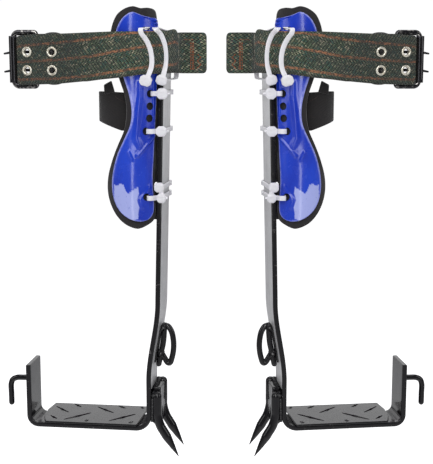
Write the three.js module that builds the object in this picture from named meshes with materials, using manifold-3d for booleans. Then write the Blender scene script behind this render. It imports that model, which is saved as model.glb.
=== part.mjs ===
// A pair of tree climbing spurs: strap-on leg irons with two welded spikes each, a shin guard
// tied to the shank and a webbing belt with a double-prong roller buckle for the calf.
// Millimetres, +Z up. The origin is midway between the two foot plates, at boot-sole height.
// Each spur is modelled in its own frame: x runs from the short upright to the shank,
// y runs from front to back, z = 0 is the top of the tread plate. The right one is mirrored.
import * as THREE from "three";
import { mergeVertices } from "three/addons/utils/BufferGeometryUtils.js";
import Module from "manifold-3d";

const wasm = await Module();
wasm.setup();

// ---- driving dimensions ------------------------------------------------------------------
const GAP = 0.3; // clearance kept between touching pieces
const SPUR_X = 129.5; // middle of each stirrup from the centre plane of the pair
const TOE_DEG = 7.1; // each spur is turned this much, showing the outer face of its shank

const BAR_T = 5; // flat bar thickness
const BAR_W = 38; // flat bar width
const INNER_W = 121; // clear width for the boot
const BEND_R = [9.5, 14]; // bend radii at the middle of the bar: upright side, shank side
const UPRIGHT_TOP = 58.5;
const SHANK_TOP = 392;
const OFFSET_START = 44; // height where the shank starts its offset
const OFFSET_END = 130; // height where the offset is complete
const OFFSET_X = 10.8; // how far the offset moves the shank
const LEAN = 0.0245; // inward lean of the upper shank, mm per mm
const TWIST_DEG = 2; // the shank is twisted this much against the stirrup

const PLATE_T = 2.2; // tread plate
const PLATE_FRONT = -21;
const PLATE_BACK = 38.5;
const PLATE_RIGHT = 50;

const SPIKE_R = 4.7; // spikes, bent from round rod
const SPIKE_Y = 17; // spikes sit this far in front of and behind the middle of the bar
const SPIKE_OFF = 1.4; // weld metal between bar and spike
const SPIKE_TOPS = [30, 36]; // front, rear
const SPIKE_BEND_Z = 4;
const SPIKE_TIP = [93.5, -33.5];
const SPIKE_CONE = 24; // length of the ground point

const GUSSET_DEPTH = 9; // block between the spikes' upright parts
const GUSSET_Z = [-2, 38];

const RING_R = 2.8; // strap ring rod
const HOOK_R = 2.8; // boot strap hook rod

const SHELL_AXIS = [46, -4]; // plan centre of the shin guard's curve
const SHELL_R = 31; // outside radius of the shell
const SHELL_T = 2.4;
const FOAM_T = 7;
const LIP_SIZE = [8, 3.8, 178]; // foam bulging out between the shell and the shank
const LIP_AT = [75.2, -7.4, 305];

const BELT_T = 2.5; // webbing thickness of the front strap, which holds the grommets
const INNER_BELT_T = 2; // webbing thickness of the strap behind the leg
const GROMMET_OD = 11.5;
const GROMMET_ID = 5.8;
const GROMMET_ROW = 8.7; // rows lie this far above and below the belt's middle
const BELT_MID_Z = 368.2; // height of the belt's middle at the buckle

const TIE_W = 4.8; // zip tie strap
const TIE_T = 1.2;

const BUCKLE_BAR = [-40.5, -33.5]; // plan position of the inner bar, the buckle's hinge
const BUCKLE_END = [-63, -36]; // plan position of the outer bar, which carries the roller
const BUCKLE_ROD_R = 2.1;
const ROLLER_R = 4;

const INNER_HALF = INNER_W / 2;
const BAR_TOP_Z = -PLATE_T - GAP;
const BAR_MID_Z = BAR_TOP_Z - BAR_T / 2;
const HALF_W = BAR_W / 2;

// ---- materials ---------------------------------------------------------------------------
const finish = (color, roughness, metalness) =>
  new THREE.MeshStandardMaterial({ color, roughness, metalness });
const PAINT = finish(0x16161a, 0.25, 0.3);
const BLACK_CHROME = finish(0x2a2a2e, 0.15, 0.9);
const BRASS = finish(0xd8ccae, 0.3, 0.9);
const BLUE = finish(0x1f45c8, 0.2, 0);
const FOAM = finish(0x1c1b1d, 0.9, 0);
const ELASTIC = finish(0x17161a, 0.85, 0);
const WEBBING = finish(0x46523f, 0.9, 0);
const NYLON = finish(0xf2f0f4, 0.4, 0);

// ---- solids ------------------------------------------------------------------------------
function solid(geometry) {
  const bare = geometry.index ? geometry.toNonIndexed() : geometry.clone();
  bare.deleteAttribute("normal");
  bare.deleteAttribute("uv");
  const merged = mergeVertices(bare, 1e-4);
  return new wasm.Manifold(new wasm.Mesh({
    numProp: 3,
    vertProperties: new Float32Array(merged.attributes.position.array),
    triVerts: new Uint32Array(merged.index.array),
  }));
}

function geometryOf(manifold) {
  const mesh = manifold.getMesh();
  const geometry = new THREE.BufferGeometry();
  geometry.setAttribute("position", new THREE.BufferAttribute(mesh.vertProperties, 3));
  geometry.setIndex(new THREE.BufferAttribute(mesh.triVerts, 1));
  return geometry;
}

const union = (...parts) => geometryOf(parts.map(solid).reduce((a, b) => a.add(b)));
const cut = (body, ...tools) => geometryOf(tools.map(solid).reduce((a, b) => a.subtract(b), solid(body)));
const common = (a, b) => geometryOf(solid(a).intersect(solid(b)));

// Value at x of a line through the given [x, value] points.
function along(x, points) {
  if (x <= points[0][0]) return points[0][1];
  for (let i = 1; i < points.length; i += 1) {
    const [x0, v0] = points[i - 1];
    const [x1, v1] = points[i];
    if (x <= x1) return v0 + ((v1 - v0) * (x - x0)) / (x1 - x0);
  }
  return points[points.length - 1][1];
}

const v2 = ([x, y]) => new THREE.Vector2(x, y);
const v3 = ([x, y, z]) => new THREE.Vector3(x, y, z);

// Points either side of a plan line, at half the thickness from it.
function bothSides(line, thickness, closed) {
  const n = line.length;
  const at = (i) => (closed ? line[(i + n) % n] : line[Math.min(Math.max(i, 0), n - 1)]);
  const left = [];
  const right = [];
  for (let i = 0; i < n; i += 1) {
    const ahead = at(i + 1).clone().sub(at(i - 1)).normalize();
    const normal = new THREE.Vector2(-ahead.y, ahead.x).multiplyScalar(thickness / 2);
    left.push(line[i].clone().add(normal));
    right.push(line[i].clone().sub(normal));
  }
  return [left, right];
}

function smoothLine(points, steps, closed = false) {
  const curve = new THREE.CatmullRomCurve3(points.map(([x, y]) => v3([x, y, 0])), closed, "centripetal");
  const line = curve.getSpacedPoints(steps).map((p) => new THREE.Vector2(p.x, p.y));
  if (closed) line.pop();
  return line;
}

// A band standing on edge: a strip of the given thickness along a plan line, height tall.
function band(line, thickness, height, closed = false) {
  const counterclockwise = closed && THREE.ShapeUtils.isClockWise(line) ? [...line].reverse() : line;
  const [left, right] = bothSides(counterclockwise, thickness, closed);
  const shape = new THREE.Shape(closed ? right : [...left, ...right.reverse()]);
  if (closed) shape.holes.push(new THREE.Path(left));
  return new THREE.ExtrudeGeometry(shape, { depth: height, bevelEnabled: false });
}

// Moves a band's lower and upper rims to heights that depend on x.
function setRims(geometry, bottomAt, topAt) {
  const position = geometry.attributes.position;
  for (let i = 0; i < position.count; i += 1) {
    const x = position.getX(i);
    position.setZ(i, position.getZ(i) < 1e-6 ? bottomAt(x) : topAt(x));
  }
  return geometry;
}

// A prism along y whose outline is given in x and z.
function prismY(outline, front, back) {
  const geometry = new THREE.ExtrudeGeometry(new THREE.Shape(outline), {
    depth: back - front,
    bevelEnabled: false,
  });
  return geometry.rotateX(Math.PI / 2).translate(0, back, 0);
}

function ovalY(x, z, width, height, front, back, sides = 10) {
  const ring = new THREE.EllipseCurve(x, z, width / 2, height / 2).getPoints(sides).slice(0, -1);
  return prismY(ring, front, back);
}

const box = (w, d, h, x, y, z) => new THREE.BoxGeometry(w, d, h).translate(x, y, z);

// A round rod along a smooth line of 3-D points.
function rod(points, radius, steps, sides = 10) {
  const circle = new THREE.EllipseCurve(0, 0, radius, radius).getPoints(sides).slice(0, -1);
  const path = new THREE.CatmullRomCurve3(points.map(v3), false, "centripetal");
  return new THREE.ExtrudeGeometry(new THREE.Shape(circle), { steps, extrudePath: path });
}

const postZ = (radius, bottom, top, x, y, sides = 12) =>
  new THREE.CylinderGeometry(radius, radius, top - bottom, sides)
    .rotateX(Math.PI / 2)
    .translate(x, y, (top + bottom) / 2);

// ---- leg iron ----------------------------------------------------------------------------
// Middle of the bar on the shank side at height z.
function shankX(z) {
  const t = Math.min(Math.max((z - OFFSET_START) / (OFFSET_END - OFFSET_START), 0), 1);
  const eased = t * t * (3 - 2 * t);
  return INNER_HALF + BAR_T / 2 + OFFSET_X * eased + LEAN * Math.max(z - OFFSET_END, 0);
}
const shankOuter = (z) => shankX(z) + BAR_T / 2;
const shankInner = (z) => shankX(z) - BAR_T / 2;

function legIron() {
  const corner = (sign, from, to) => {
    const r = sign < 0 ? BEND_R[0] : BEND_R[1];
    const cornerX = sign * (INNER_HALF + BAR_T / 2 - r);
    return new THREE.EllipseCurve(cornerX, BAR_MID_Z + r, r, r, from, to, false).getPoints(6);
  };
  const line = [v2([-INNER_HALF - BAR_T / 2, UPRIGHT_TOP])];
  line.push(...corner(-1, Math.PI, Math.PI * 1.5));
  line.push(...corner(1, Math.PI * 1.5, Math.PI * 2));
  const offsetSteps = 9;
  for (let i = 0; i <= offsetSteps; i += 1) {
    const z = OFFSET_START + ((OFFSET_END - OFFSET_START) * i) / offsetSteps;
    line.push(v2([shankX(z), z]));
  }
  line.push(v2([shankX(SHANK_TOP), SHANK_TOP]));
  const [left, right] = bothSides(line, BAR_T, false);
  const edge = 0.8;
  const inset = (from, to) => from.map((p, i) => p.clone().lerp(to[i], edge / BAR_T));
  const outline = [...inset(left, right), ...inset(right, left).reverse()];
  const geometry = new THREE.ExtrudeGeometry(new THREE.Shape(outline), {
    depth: BAR_W - 2 * edge,
    bevelThickness: edge,
    bevelSize: edge,
    bevelSegments: 1,
  });
  return twisted(geometry.rotateX(Math.PI / 2).translate(0, HALF_W - edge, 0));
}

// Turns the shank about its own middle line, from nothing at the start of its offset.
function twisted(geometry) {
  const position = geometry.attributes.position;
  for (let i = 0; i < position.count; i += 1) {
    const z = position.getZ(i);
    const x = position.getX(i);
    const y = position.getY(i);
    if (x < 0 || z < OFFSET_START) continue;
    const part = Math.min((z - OFFSET_START) / (OFFSET_END - OFFSET_START), 1);
    const turn = THREE.MathUtils.degToRad(TWIST_DEG) * part;
    const out = x - shankX(z);
    position.setX(i, shankX(z) + out * Math.cos(turn) + y * Math.sin(turn));
    position.setY(i, y * Math.cos(turn) - out * Math.sin(turn));
  }
  return geometry;
}

function treadPlate() {
  const outline = [
    [-45.5, PLATE_FRONT], [PLATE_RIGHT, PLATE_FRONT], [PLATE_RIGHT, PLATE_BACK],
    [-50.5, PLATE_BACK], [-53, 16], [-52.2, 10], [-50.8, -6],
  ];
  const edge = 0.4;
  const geometry = new THREE.ExtrudeGeometry(new THREE.Shape(outline.map(v2)), {
    depth: PLATE_T - 2 * edge,
    bevelThickness: edge,
    bevelSize: edge,
    bevelOffset: -edge,
    bevelSegments: 1,
  });
  return geometry.translate(0, 0, edge - PLATE_T);
}

// ---- spikes ------------------------------------------------------------------------------
function spike(y, top) {
  const x = shankOuter(0) + SPIKE_OFF + SPIKE_R;
  const [tipX, tipZ] = SPIKE_TIP;
  const slant = v2([tipX - x, tipZ - SPIKE_BEND_Z]);
  const reach = slant.length();
  const unit = slant.clone().normalize();
  const at = (s) => [x + unit.x * s, y, SPIKE_BEND_Z + unit.y * s];
  const shaft = rod([
    [x, y, top], [x, y, top / 2], [x, y, SPIKE_BEND_Z + 6],
    at(6), at(reach * 0.35), at(reach - SPIKE_CONE + 1),
  ], SPIKE_R, 9, 10);
  const profile = [[0, 0], [SPIKE_R, 0], [SPIKE_R, 1], [0.5, SPIKE_CONE - 0.7], [0, SPIKE_CONE]];
  const cone = new THREE.LatheGeometry(profile.map(v2), 10);
  const turn = Math.atan2(unit.x, unit.y);
  const start = at(reach - SPIKE_CONE);
  cone.rotateX(Math.PI / 2).rotateY(turn).translate(start[0], start[1], start[2]);
  return union(shaft, cone);
}

function spikeGusset() {
  const x = shankOuter(0) + GAP;
  const half = SPIKE_Y - SPIKE_R - GAP;
  const [bottom, top] = GUSSET_Z;
  return box(GUSSET_DEPTH, half * 2, top - bottom, x + GUSSET_DEPTH / 2, 0, (top + bottom) / 2);
}

// ---- strap ring and hook -----------------------------------------------------------------
function strapRing() {
  const y = -2;
  const point = ([x, z]) => [x, y, z];
  const arc = rod([
    [76.8, 100], [80.2, 100.4], [84, 95.5], [86.1, 87], [86.4, 77], [84.8, 67.5], [81.4, 60.8],
  ].map(point), RING_R, 16, 8);
  const tail = rod([[81.4, 60.8], [77.8, 65.5], [73.5, 72.5]].map(point), RING_R, 3, 8);
  const tip = new THREE.SphereGeometry(RING_R, 8, 6).translate(81.4, y, 60.8);
  const leg = rod([[76.9, 101], [76.6, 92], [75.6, 82], [73.4, 72], [70.6, 59.5]].map(point), RING_R, 6, 8);
  const weld = (x, z, r) => new THREE.SphereGeometry(r, 8, 6).scale(1, 1.5, 1).translate(x, y, z);
  const ring = union(arc, tail, tip, leg, weld(77.2, 100, 3.7), weld(72.8, 71.5, 4.2));
  const clear = [];
  for (let z = 40; z <= 120; z += 5) clear.push(v2([shankOuter(z) + GAP, z]));
  clear.push(v2([40, 120]), v2([40, 40]));
  return cut(ring, prismY(clear, -30, 30));
}

function bootStrapHook() {
  const x = -INNER_HALF - BAR_T - GAP;
  return rod([
    [x, 0, 39.4], [x - 8, 0, 39.4], [x - 16, 0, 38.9], [x - 20.2, 0, 36.2],
    [x - 21.6, 0, 31.5], [x - 21.7, 0, 22], [x - 21.7, 0, 11.5],
  ], HOOK_R, 12, 10);
}

// ---- shin guard --------------------------------------------------------------------------
const HOLES = [[68.9, 337], [68.5, 325], [68, 313.3], [64.9, 300.9], [64.9, 236.6]];
const SLOT_X = 66; // upright tie through the guard
const SLOT_Z = [349.6, 399.2];

const TIE_HOLES = [[HOLES[0][0], 337.2], [HOLES[3][0], 300.9], [HOLES[4][0], 235.6]];
const CHAINED_Z = 245.8;

const slotCuts = () => SLOT_Z.map((z) => box(TIE_W + 1.2, 55, TIE_T + 1.4, SLOT_X, -22.5, z));
const shellCuts = () => [...HOLES.map(([x, z]) => ovalY(x, z, 6.4, 8.4, -50, 5)), ...slotCuts()];
// The foam is slit only where a tie goes through it.
const foamCuts = () => [
  ...TIE_HOLES.map(([x, z]) => box(TIE_T + 1.2, 55, TIE_W + 1, x + 0.7, -22.5, z)),
  box(7, 20, TIE_W + 1, 74, -9, CHAINED_Z),
  ...slotCuts(),
];

// A curved sheet about the guard's axis, round to the angle given.
function guardBand(radius, thickness, toDeg) {
  const [cx, cy] = SHELL_AXIS;
  const from = THREE.MathUtils.degToRad(-138);
  const to = THREE.MathUtils.degToRad(toDeg);
  const arc = new THREE.EllipseCurve(cx, cy, radius, radius, from, to, false).getPoints(13);
  return band(arc, thickness, 240).translate(0, 0, 190);
}

function guardOutline(points) {
  return new THREE.SplineCurve([...points, points[0]].map(v2)).getPoints(36).slice(0, -1);
}

function shinShell() {
  const outline = guardOutline([
    [37.8, 397], [44, 408.3], [53.6, 414.4], [63, 411.4], [70, 409.6], [75.3, 407.4], [75.6, 380],
    [73.9, 331], [71.9, 282], [70.6, 252], [71.2, 222], [68.5, 215.6], [60.6, 212.6], [50, 214.8],
    [39.5, 222.2], [32.8, 233.5], [30.5, 249.7], [35.6, 274.4], [44.2, 293], [50.6, 307], [52.2, 320],
    [50.4, 334], [45.2, 351], [38.6, 370], [36.4, 385],
  ]);
  const sheet = guardBand(SHELL_R - SHELL_T / 2, SHELL_T, -12);
  return cut(common(sheet, prismY(outline, -50, 10)), ...shellCuts());
}

function shinFoam() {
  const rightEdge = [392, 340, 290, 240, 218].map((z) => [shankInner(z) - 1.3, z]);
  const outline = guardOutline([
    [32, 396], [38, 411], [46, 417.6], [54.1, 420.3], [62, 418.4], [68, 419.2], [74, 416.5],
    [75.5, 405], ...rightEdge, [70.6, 212.5], [65, 208.5], [55.3, 205], [44.5, 209], [36.4, 216],
    [29.5, 226.5], [26.2, 240], [26.4, 252], [31.4, 270], [39.6, 288.5], [46, 303], [48, 320], [45.8, 334],
    [40, 351], [33.8, 368], [31.2, 382],
  ]);
  const pad = guardBand(SHELL_R - SHELL_T - GAP - FOAM_T / 2, FOAM_T, -9);
  const withLip = union(pad, box(...LIP_SIZE, ...LIP_AT));
  return cut(common(withLip, prismY(outline, -50, 10)), ...foamCuts());
}

function elasticStrap() {
  const line = smoothLine([
    [55, -12], [46, -17], [36, -19], [25, -16.5], [17, -10.5], [14.6, -5], [18, 1.5],
    [30, 6.5], [44, 9.2], [55, 8.6], [60.5, 3.5], [60, -4],
  ], 26, true);
  const bottom = (x) => along(x, [[14, 309.6], [39, 300.6], [70, 300.6]]);
  const top = (x) => along(x, [[14, 338.4], [45, 336.2], [70, 336.2]]);
  return setRims(band(line, 1.8, 30, true), bottom, top);
}

// A small flap that runs 0.3 mm forward for each mm to the right.
function elasticTab() {
  const outline = [[21.7, 345.2], [29.9, 349.4], [33.4, 338.2], [22.2, 335.4]].map(v2);
  const flap = prismY(outline, -12.35, -10.55);
  return flap.applyMatrix4(new THREE.Matrix4().makeShear(-0.3, 0, 0, 0, 0, 0));
}

// ---- belt --------------------------------------------------------------------------------
function beltTop(x) {
  const line = [
    [-58, 392.2], [-39, 394], [-15, 394.2], [34, 396.1], [60, 396.3], [84, 396.9], [90, 398.6],
  ];
  return along(x, line);
}

function beltBottom(x) {
  const line = [
    [-58, 344.9], [-39, 345.9], [-18, 346.6], [8, 349.1], [42, 352.7], [60, 355.4], [95, 357],
  ];
  return along(x, line);
}

function grommetCentres() {
  const centres = [];
  for (const [x, y] of [[-48, -39.1], [-22.8, -42.1]]) {
    for (const side of [1, -1]) centres.push([x, y, BELT_MID_Z + side * GROMMET_ROW]);
  }
  return centres;
}

const outerBeltLine = () => smoothLine([
  [-58.2, -39], [-53, -38.7], [-48, -39], [-36, -41.2], [-22.8, -42], [5, -42], [30, -41.2],
  [46, -39.4], [56, -37], [66, -31.4], [76, -25.6], [83.5, -21.2], [89, -15], [93.4, -9.2],
], 34);

function outerBelt() {
  const strip = setRims(band(outerBeltLine(), BELT_T, 40), beltBottom, beltTop);
  const wide = GROMMET_OD * 0.72;
  const holes = grommetCentres().map(([x, , z]) => ovalY(x, z, wide, wide, -60, -20));
  return cut(strip, ...holes);
}

function innerBelt() {
  const [bx, by] = BUCKLE_BAR;
  const wrap = BUCKLE_ROD_R + 0.5 + INNER_BELT_T / 2;
  const around = new THREE.EllipseCurve(bx, by, wrap, wrap, -Math.PI / 2, Math.PI / 2, true);
  const rest = smoothLine([
    [bx + 2, by + wrap], [bx + 8, by + 4.2], [bx + 20, by + 7.5], [bx + 34, by + 11.3], [bx + 48, by + 15.1],
    [22, -5], [42, 13], [60, 23], [76, 26], [86, 22.5], [91.5, 12], [95, 2.4], [100, -1.6], [107, -2.2], [121, -1],
  ], 42);
  const line = [v2([bx + 12, by - 2.2]), v2([bx + 5, by - wrap + 0.1]), ...around.getPoints(8), ...rest];
  const top = (x) => along(x, [[-38, 389], [-35, 392.6], [5, 392.6], [60, 396], [121, 395.6]]);
  const bottom = (x) => along(x, [[-38, 347.5], [-35, 348.4], [5, 348.4], [60, 356], [121, 356.2]]);
  const strip = setRims(band(line, INNER_BELT_T, 40), bottom, top);
  const window = box(17.5, 14, 27, bx + 0.75, by, BELT_MID_Z); // clears the swinging prongs
  return cut(strip, window);
}

function grommet([x, y, z], turn) {
  const wall = GROMMET_OD * 0.36 - 2 * GAP;
  const bore = GROMMET_ID / 2;
  const face = BELT_T / 2 + 1.5 * GAP;
  const rim = 1;
  const profile = [
    [bore, -face - rim], [wall + 1.6, -face - rim * 0.8], [wall + 1.6, -face], [wall, -face],
    [wall, face], [GROMMET_OD / 2, face], [GROMMET_OD / 2 - 0.6, face + rim * 0.8],
    [bore + 0.8, face + rim], [bore, face + rim * 0.5], [bore, -face - rim],
  ];
  const ring = new THREE.LatheGeometry(profile.map(v2), 12).rotateX(Math.PI);
  return ring.rotateZ(turn).translate(x, y, z);
}

// ---- buckle ------------------------------------------------------------------------------
const FRAME_HALF = 28.2; // half the buckle's outer height
const FRAME_UP = 1.6; // the frame hangs this far above the belt's middle
const SIDE_H = 5.4; // side bars are flattened

function buckleLine() {
  const from = v2(BUCKLE_BAR);
  const to = v2(BUCKLE_END);
  const unit = to.clone().sub(from).normalize();
  return { from, to, unit, turn: Math.atan2(unit.y, unit.x), reach: to.distanceTo(from) };
}

// Places a piece built along +x from the hinge bar, with its middle at z = 0.
function onBuckle(geometry) {
  const { from, turn } = buckleLine();
  return geometry.rotateZ(turn).translate(from.x, from.y, BELT_MID_Z);
}

function buckleFrame() {
  const { reach } = buckleLine();
  const sideMid = FRAME_HALF - SIDE_H / 2;
  const bar = (x) => postZ(BUCKLE_ROD_R, -FRAME_HALF + 1.5, FRAME_HALF - 1.5, x, 0);
  const side = (s) => {
    const block = new THREE.Shape([[-1.8, -SIDE_H / 2], [reach, -SIDE_H / 2], [reach + 2.6, -SIDE_H / 6],
      [reach + 2.6, SIDE_H / 6], [reach, SIDE_H / 2], [-1.8, SIDE_H / 2]].map(v2));
    const flat = new THREE.ExtrudeGeometry(block, { depth: 3.6, bevelEnabled: false });
    return flat.rotateX(Math.PI / 2).translate(0, 1.8, s * sideMid);
  };
  return onBuckle(union(bar(0), bar(reach), side(1), side(-1)).translate(0, 0, FRAME_UP));
}

function hollowPost(inner, outer, half) {
  const profile = [[inner, -half], [outer, -half], [outer, half], [inner, half], [inner, -half]];
  return new THREE.LatheGeometry(profile.map(v2), 12).rotateX(Math.PI / 2);
}

function buckleRoller() {
  const { reach } = buckleLine();
  const half = FRAME_HALF - SIDE_H - 0.5;
  return onBuckle(hollowPost(BUCKLE_ROD_R + 0.2, ROLLER_R, half).translate(reach, 0, FRAME_UP));
}

function buckleProngs() {
  const { reach } = buckleLine();
  const sleeve = hollowPost(BUCKLE_ROD_R + 0.25, BUCKLE_ROD_R + 1.4, 12);
  const clear = -(ROLLER_R + 1.5 + GAP);
  const tine = (z) => rod([
    [0, -BUCKLE_ROD_R - 2, z], [6, -BUCKLE_ROD_R - 2.2, z], [reach * 0.6, clear + 0.2, z],
    [reach, clear, z], [reach + 9.8, clear + 0.6, z - 1.6],
  ], 1.5, 7, 8);
  return onBuckle(union(sleeve, tine(GROMMET_ROW), tine(-GROMMET_ROW)));
}

function beltKeeper() {
  const [bx, by] = BUCKLE_BAR;
  const turn = Math.atan2(15.1 - 4.2, 40);
  const outer = box(17, 7.4, 51, 0, 0, 0);
  const inner = box(30, 3.4, 46.2, 0, 0, 0);
  return cut(outer, inner).rotateZ(turn).translate(bx + 15, by + 6.1, 370.5);
}

// ---- zip ties ----------------------------------------------------------------------------
const head = (w, d, h) => {
  const cutoff = 1.6;
  const face = new THREE.Shape([
    [-w / 2, -h / 2 + cutoff], [-w / 2 + cutoff, -h / 2], [w / 2 - cutoff, -h / 2], [w / 2, -h / 2 + cutoff],
    [w / 2, h / 2 - cutoff], [w / 2 - cutoff, h / 2], [-w / 2 + cutoff, h / 2], [-w / 2, h / 2 - cutoff],
  ].map(v2));
  return new THREE.ExtrudeGeometry(face, { depth: d, bevelEnabled: false }).rotateX(Math.PI / 2);
};

// An upright tie: a loop in the plane of y and z around the belt.
function uprightTie(x, front, back, bottom, top, headAt) {
  const line = smoothLine([
    [front, (top + bottom) / 2], [front + 0.4, top - 6], [front + 2.6, top - 1.2], [front + 8, top],
    [back - 5, top], [back - 1, top - 1.4], [back, top - 6], [back, bottom + 6], [back - 1, bottom + 1.4],
    [back - 5, bottom], [front + 8, bottom], [front + 3, bottom + 0.8], [front + 0.6, bottom + 6],
  ], 44, true);
  const loop = band(line, TIE_T, TIE_W, true);
  loop.applyMatrix4(new THREE.Matrix4().set(0, 0, 1, x - TIE_W / 2, 1, 0, 0, 0, 0, 1, 0, 0, 0, 0, 0, 1));
  return union(loop, head(10.5, 6, 10).translate(headAt[0], headAt[1], headAt[2]));
}

// A level tie: a loop in plan through a hole of the guard and round the shank.
function levelTie(holeX, z, headAt, headSize) {
  const out = shankOuter(z) + 1.3;
  const [cx, cy] = SHELL_AXIS;
  const front = cy - Math.sqrt(SHELL_R ** 2 - (holeX - cx) ** 2) - 1.4;
  const line = smoothLine([
    [holeX + 0.7, -12], [holeX + 0.7, front + 4], [holeX + 1.5, front], [holeX + 5.4, front - 0.6],
    [out - 6, -25.5], [out, -20.7], [out + 0.6, -8], [out + 1, 8], [out + 1, 19.4], [out - 4, 21.8],
    [holeX + 3, 15], [holeX + 0.7, 2],
  ], 36, true);
  const loop = band(line, TIE_T, TIE_W, true).translate(0, 0, z - TIE_W / 2);
  return union(loop, head(...headSize).translate(headAt[0], headAt[1], z));
}

// The tie added above the lowest one, whose head is against the first one's.
function chainedTie(z) {
  const out = shankOuter(z) + 1.3;
  const line = smoothLine([
    [shankInner(z) - 1, -22.4], [out - 4, -22.9], [out, -20.7], [out + 0.6, -8],
    [out + 1, 8], [out + 1, 19.4], [out - 4, 21.8], [shankInner(z) - 1, 20.4], [shankInner(z) - 1.1, 0],
  ], 26, true);
  const loop = band(line, TIE_T, TIE_W, true).translate(0, 0, z - TIE_W / 2);
  return union(loop, head(9.5, 6, 9.4).translate(shankInner(z) + 3, -22.6, z));
}

// ---- one spur ----------------------------------------------------------------------------
function spurPieces() {
  const pieces = [
    ["leg_iron", PAINT, legIron()],
    ["tread_plate", PAINT, treadPlate()],
    ["front_spike", PAINT, spike(-SPIKE_Y, SPIKE_TOPS[0])],
    ["rear_spike", PAINT, spike(SPIKE_Y, SPIKE_TOPS[1])],
    ["spike_gusset", PAINT, spikeGusset()],
    ["strap_ring", PAINT, strapRing()],
    ["boot_strap_hook", PAINT, bootStrapHook()],
    ["shin_shell", BLUE, shinShell()],
    ["shin_foam", FOAM, shinFoam()],
    ["elastic_strap", ELASTIC, elasticStrap()],
    ["elastic_tab", ELASTIC, elasticTab()],
    ["outer_belt", WEBBING, outerBelt()],
    ["inner_belt", WEBBING, innerBelt()],
    ["buckle_frame", BLACK_CHROME, buckleFrame()],
    ["buckle_roller", BLACK_CHROME, buckleRoller()],
    ["buckle_prongs", BLACK_CHROME, buckleProngs()],
    ["belt_keeper", ELASTIC, beltKeeper()],
    ["belt_tie_inner", NYLON, uprightTie(SLOT_X, -36.6, -4, SLOT_Z[0], SLOT_Z[1], [65.5, -32.2, 349.6])],
    ["belt_tie_outer", NYLON, uprightTie(86.2, -26, 28.6, 350.4, 400, [82.9, -19.2, 350])],
    ["shin_tie_top", NYLON, levelTie(...TIE_HOLES[0], [81.2, -24.2], [10.5, 6, 11])],
    ["shin_tie_middle", NYLON, levelTie(...TIE_HOLES[1], [80, -24.2], [10.5, 6, 10.4])],
    ["shin_tie_low", NYLON, levelTie(...TIE_HOLES[2], [79.6, -24], [8.6, 6, 9.6])],
    ["shin_tie_chained", NYLON, chainedTie(CHAINED_Z)],
  ];
  grommetCentres().forEach((centre, i) => {
    const lean = i < 2 ? -0.13 : 0;
    pieces.push([`belt_grommet_${i + 1}`, BRASS, grommet(centre, lean)]);
  });
  return pieces;
}

function mirrored(geometry) {
  const flat = geometry.index ? geometry.toNonIndexed() : geometry.clone();
  const position = flat.attributes.position;
  const corners = [];
  for (let i = 0; i < position.count; i += 3) {
    for (const k of [i, i + 2, i + 1]) {
      corners.push(-position.getX(k), position.getY(k), position.getZ(k));
    }
  }
  const result = new THREE.BufferGeometry();
  result.setAttribute("position", new THREE.BufferAttribute(new Float32Array(corners), 3));
  return result;
}

const pair = new THREE.Group();
const toe = THREE.MathUtils.degToRad(TOE_DEG);
const leftSpur = new THREE.Group();
leftSpur.position.set(-SPUR_X, 0, 0);
leftSpur.rotation.z = -toe;
const rightSpur = new THREE.Group();
rightSpur.position.set(SPUR_X, 0, 0);
rightSpur.rotation.z = toe;
pair.add(leftSpur, rightSpur);

for (const [name, material, geometry] of spurPieces()) {
  const left = new THREE.Mesh(geometry, material);
  left.name = `${name}_left`;
  leftSpur.add(left);
  const right = new THREE.Mesh(mirrored(geometry), material);
  right.name = `${name}_right`;
  rightSpur.add(right);
}

export default pair;
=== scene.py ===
import math
import random

import bmesh
import bpy
import numpy as np
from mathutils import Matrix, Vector, noise

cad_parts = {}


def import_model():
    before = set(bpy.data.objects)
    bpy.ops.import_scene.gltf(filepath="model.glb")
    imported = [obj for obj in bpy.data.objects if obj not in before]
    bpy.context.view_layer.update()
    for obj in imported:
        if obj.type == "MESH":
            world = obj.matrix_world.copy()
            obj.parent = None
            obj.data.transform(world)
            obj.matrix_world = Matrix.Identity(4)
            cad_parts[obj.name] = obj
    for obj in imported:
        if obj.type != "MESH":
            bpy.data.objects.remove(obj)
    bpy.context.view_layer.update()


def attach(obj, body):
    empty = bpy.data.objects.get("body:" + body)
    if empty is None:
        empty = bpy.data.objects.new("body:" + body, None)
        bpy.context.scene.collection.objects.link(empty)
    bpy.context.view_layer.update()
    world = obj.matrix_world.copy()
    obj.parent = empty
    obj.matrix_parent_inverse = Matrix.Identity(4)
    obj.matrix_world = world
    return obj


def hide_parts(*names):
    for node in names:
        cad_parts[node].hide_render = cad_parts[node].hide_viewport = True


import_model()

# Every piece is built once in the left spur's own frame, in millimetres: x from the short upright
# to the shank, y from front to back, z up from the top of the tread plate. The right spur is its mirror.
SPUR_X = 129.5
TOE = math.radians(7.1)
INNER_HALF = 60.5
BAR_T, BAR_W = 5.0, 38.0
SHANK_TOP = 392.0
SHELL_AXIS = (46.0, -4.0)
BELT_MID = 368.2
Y_AXIS, Z_AXIS, X_AXIS = (0, 1, 0), (0, 0, 1), (1, 0, 0)


def shank_x(z):
    t = min(max((z - 44) / 86, 0), 1)
    return INNER_HALF + BAR_T / 2 + 10.8 * t * t * (3 - 2 * t) + 0.0245 * max(z - 130, 0)


def shank_out(z):
    return shank_x(z) + BAR_T / 2


def twist(points):
    """Turns the shank about its own middle line, 2 degrees from the top of its offset upward."""
    out = []
    for x, y, z in points:
        turn = math.radians(2) * min(max((z - 44) / 86, 0), 1) if x > 0 else 0
        off = x - shank_x(z)
        out.append((x - off + off * math.cos(turn) + y * math.sin(turn), y * math.cos(turn) - off * math.sin(turn), z))
    return out


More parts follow.
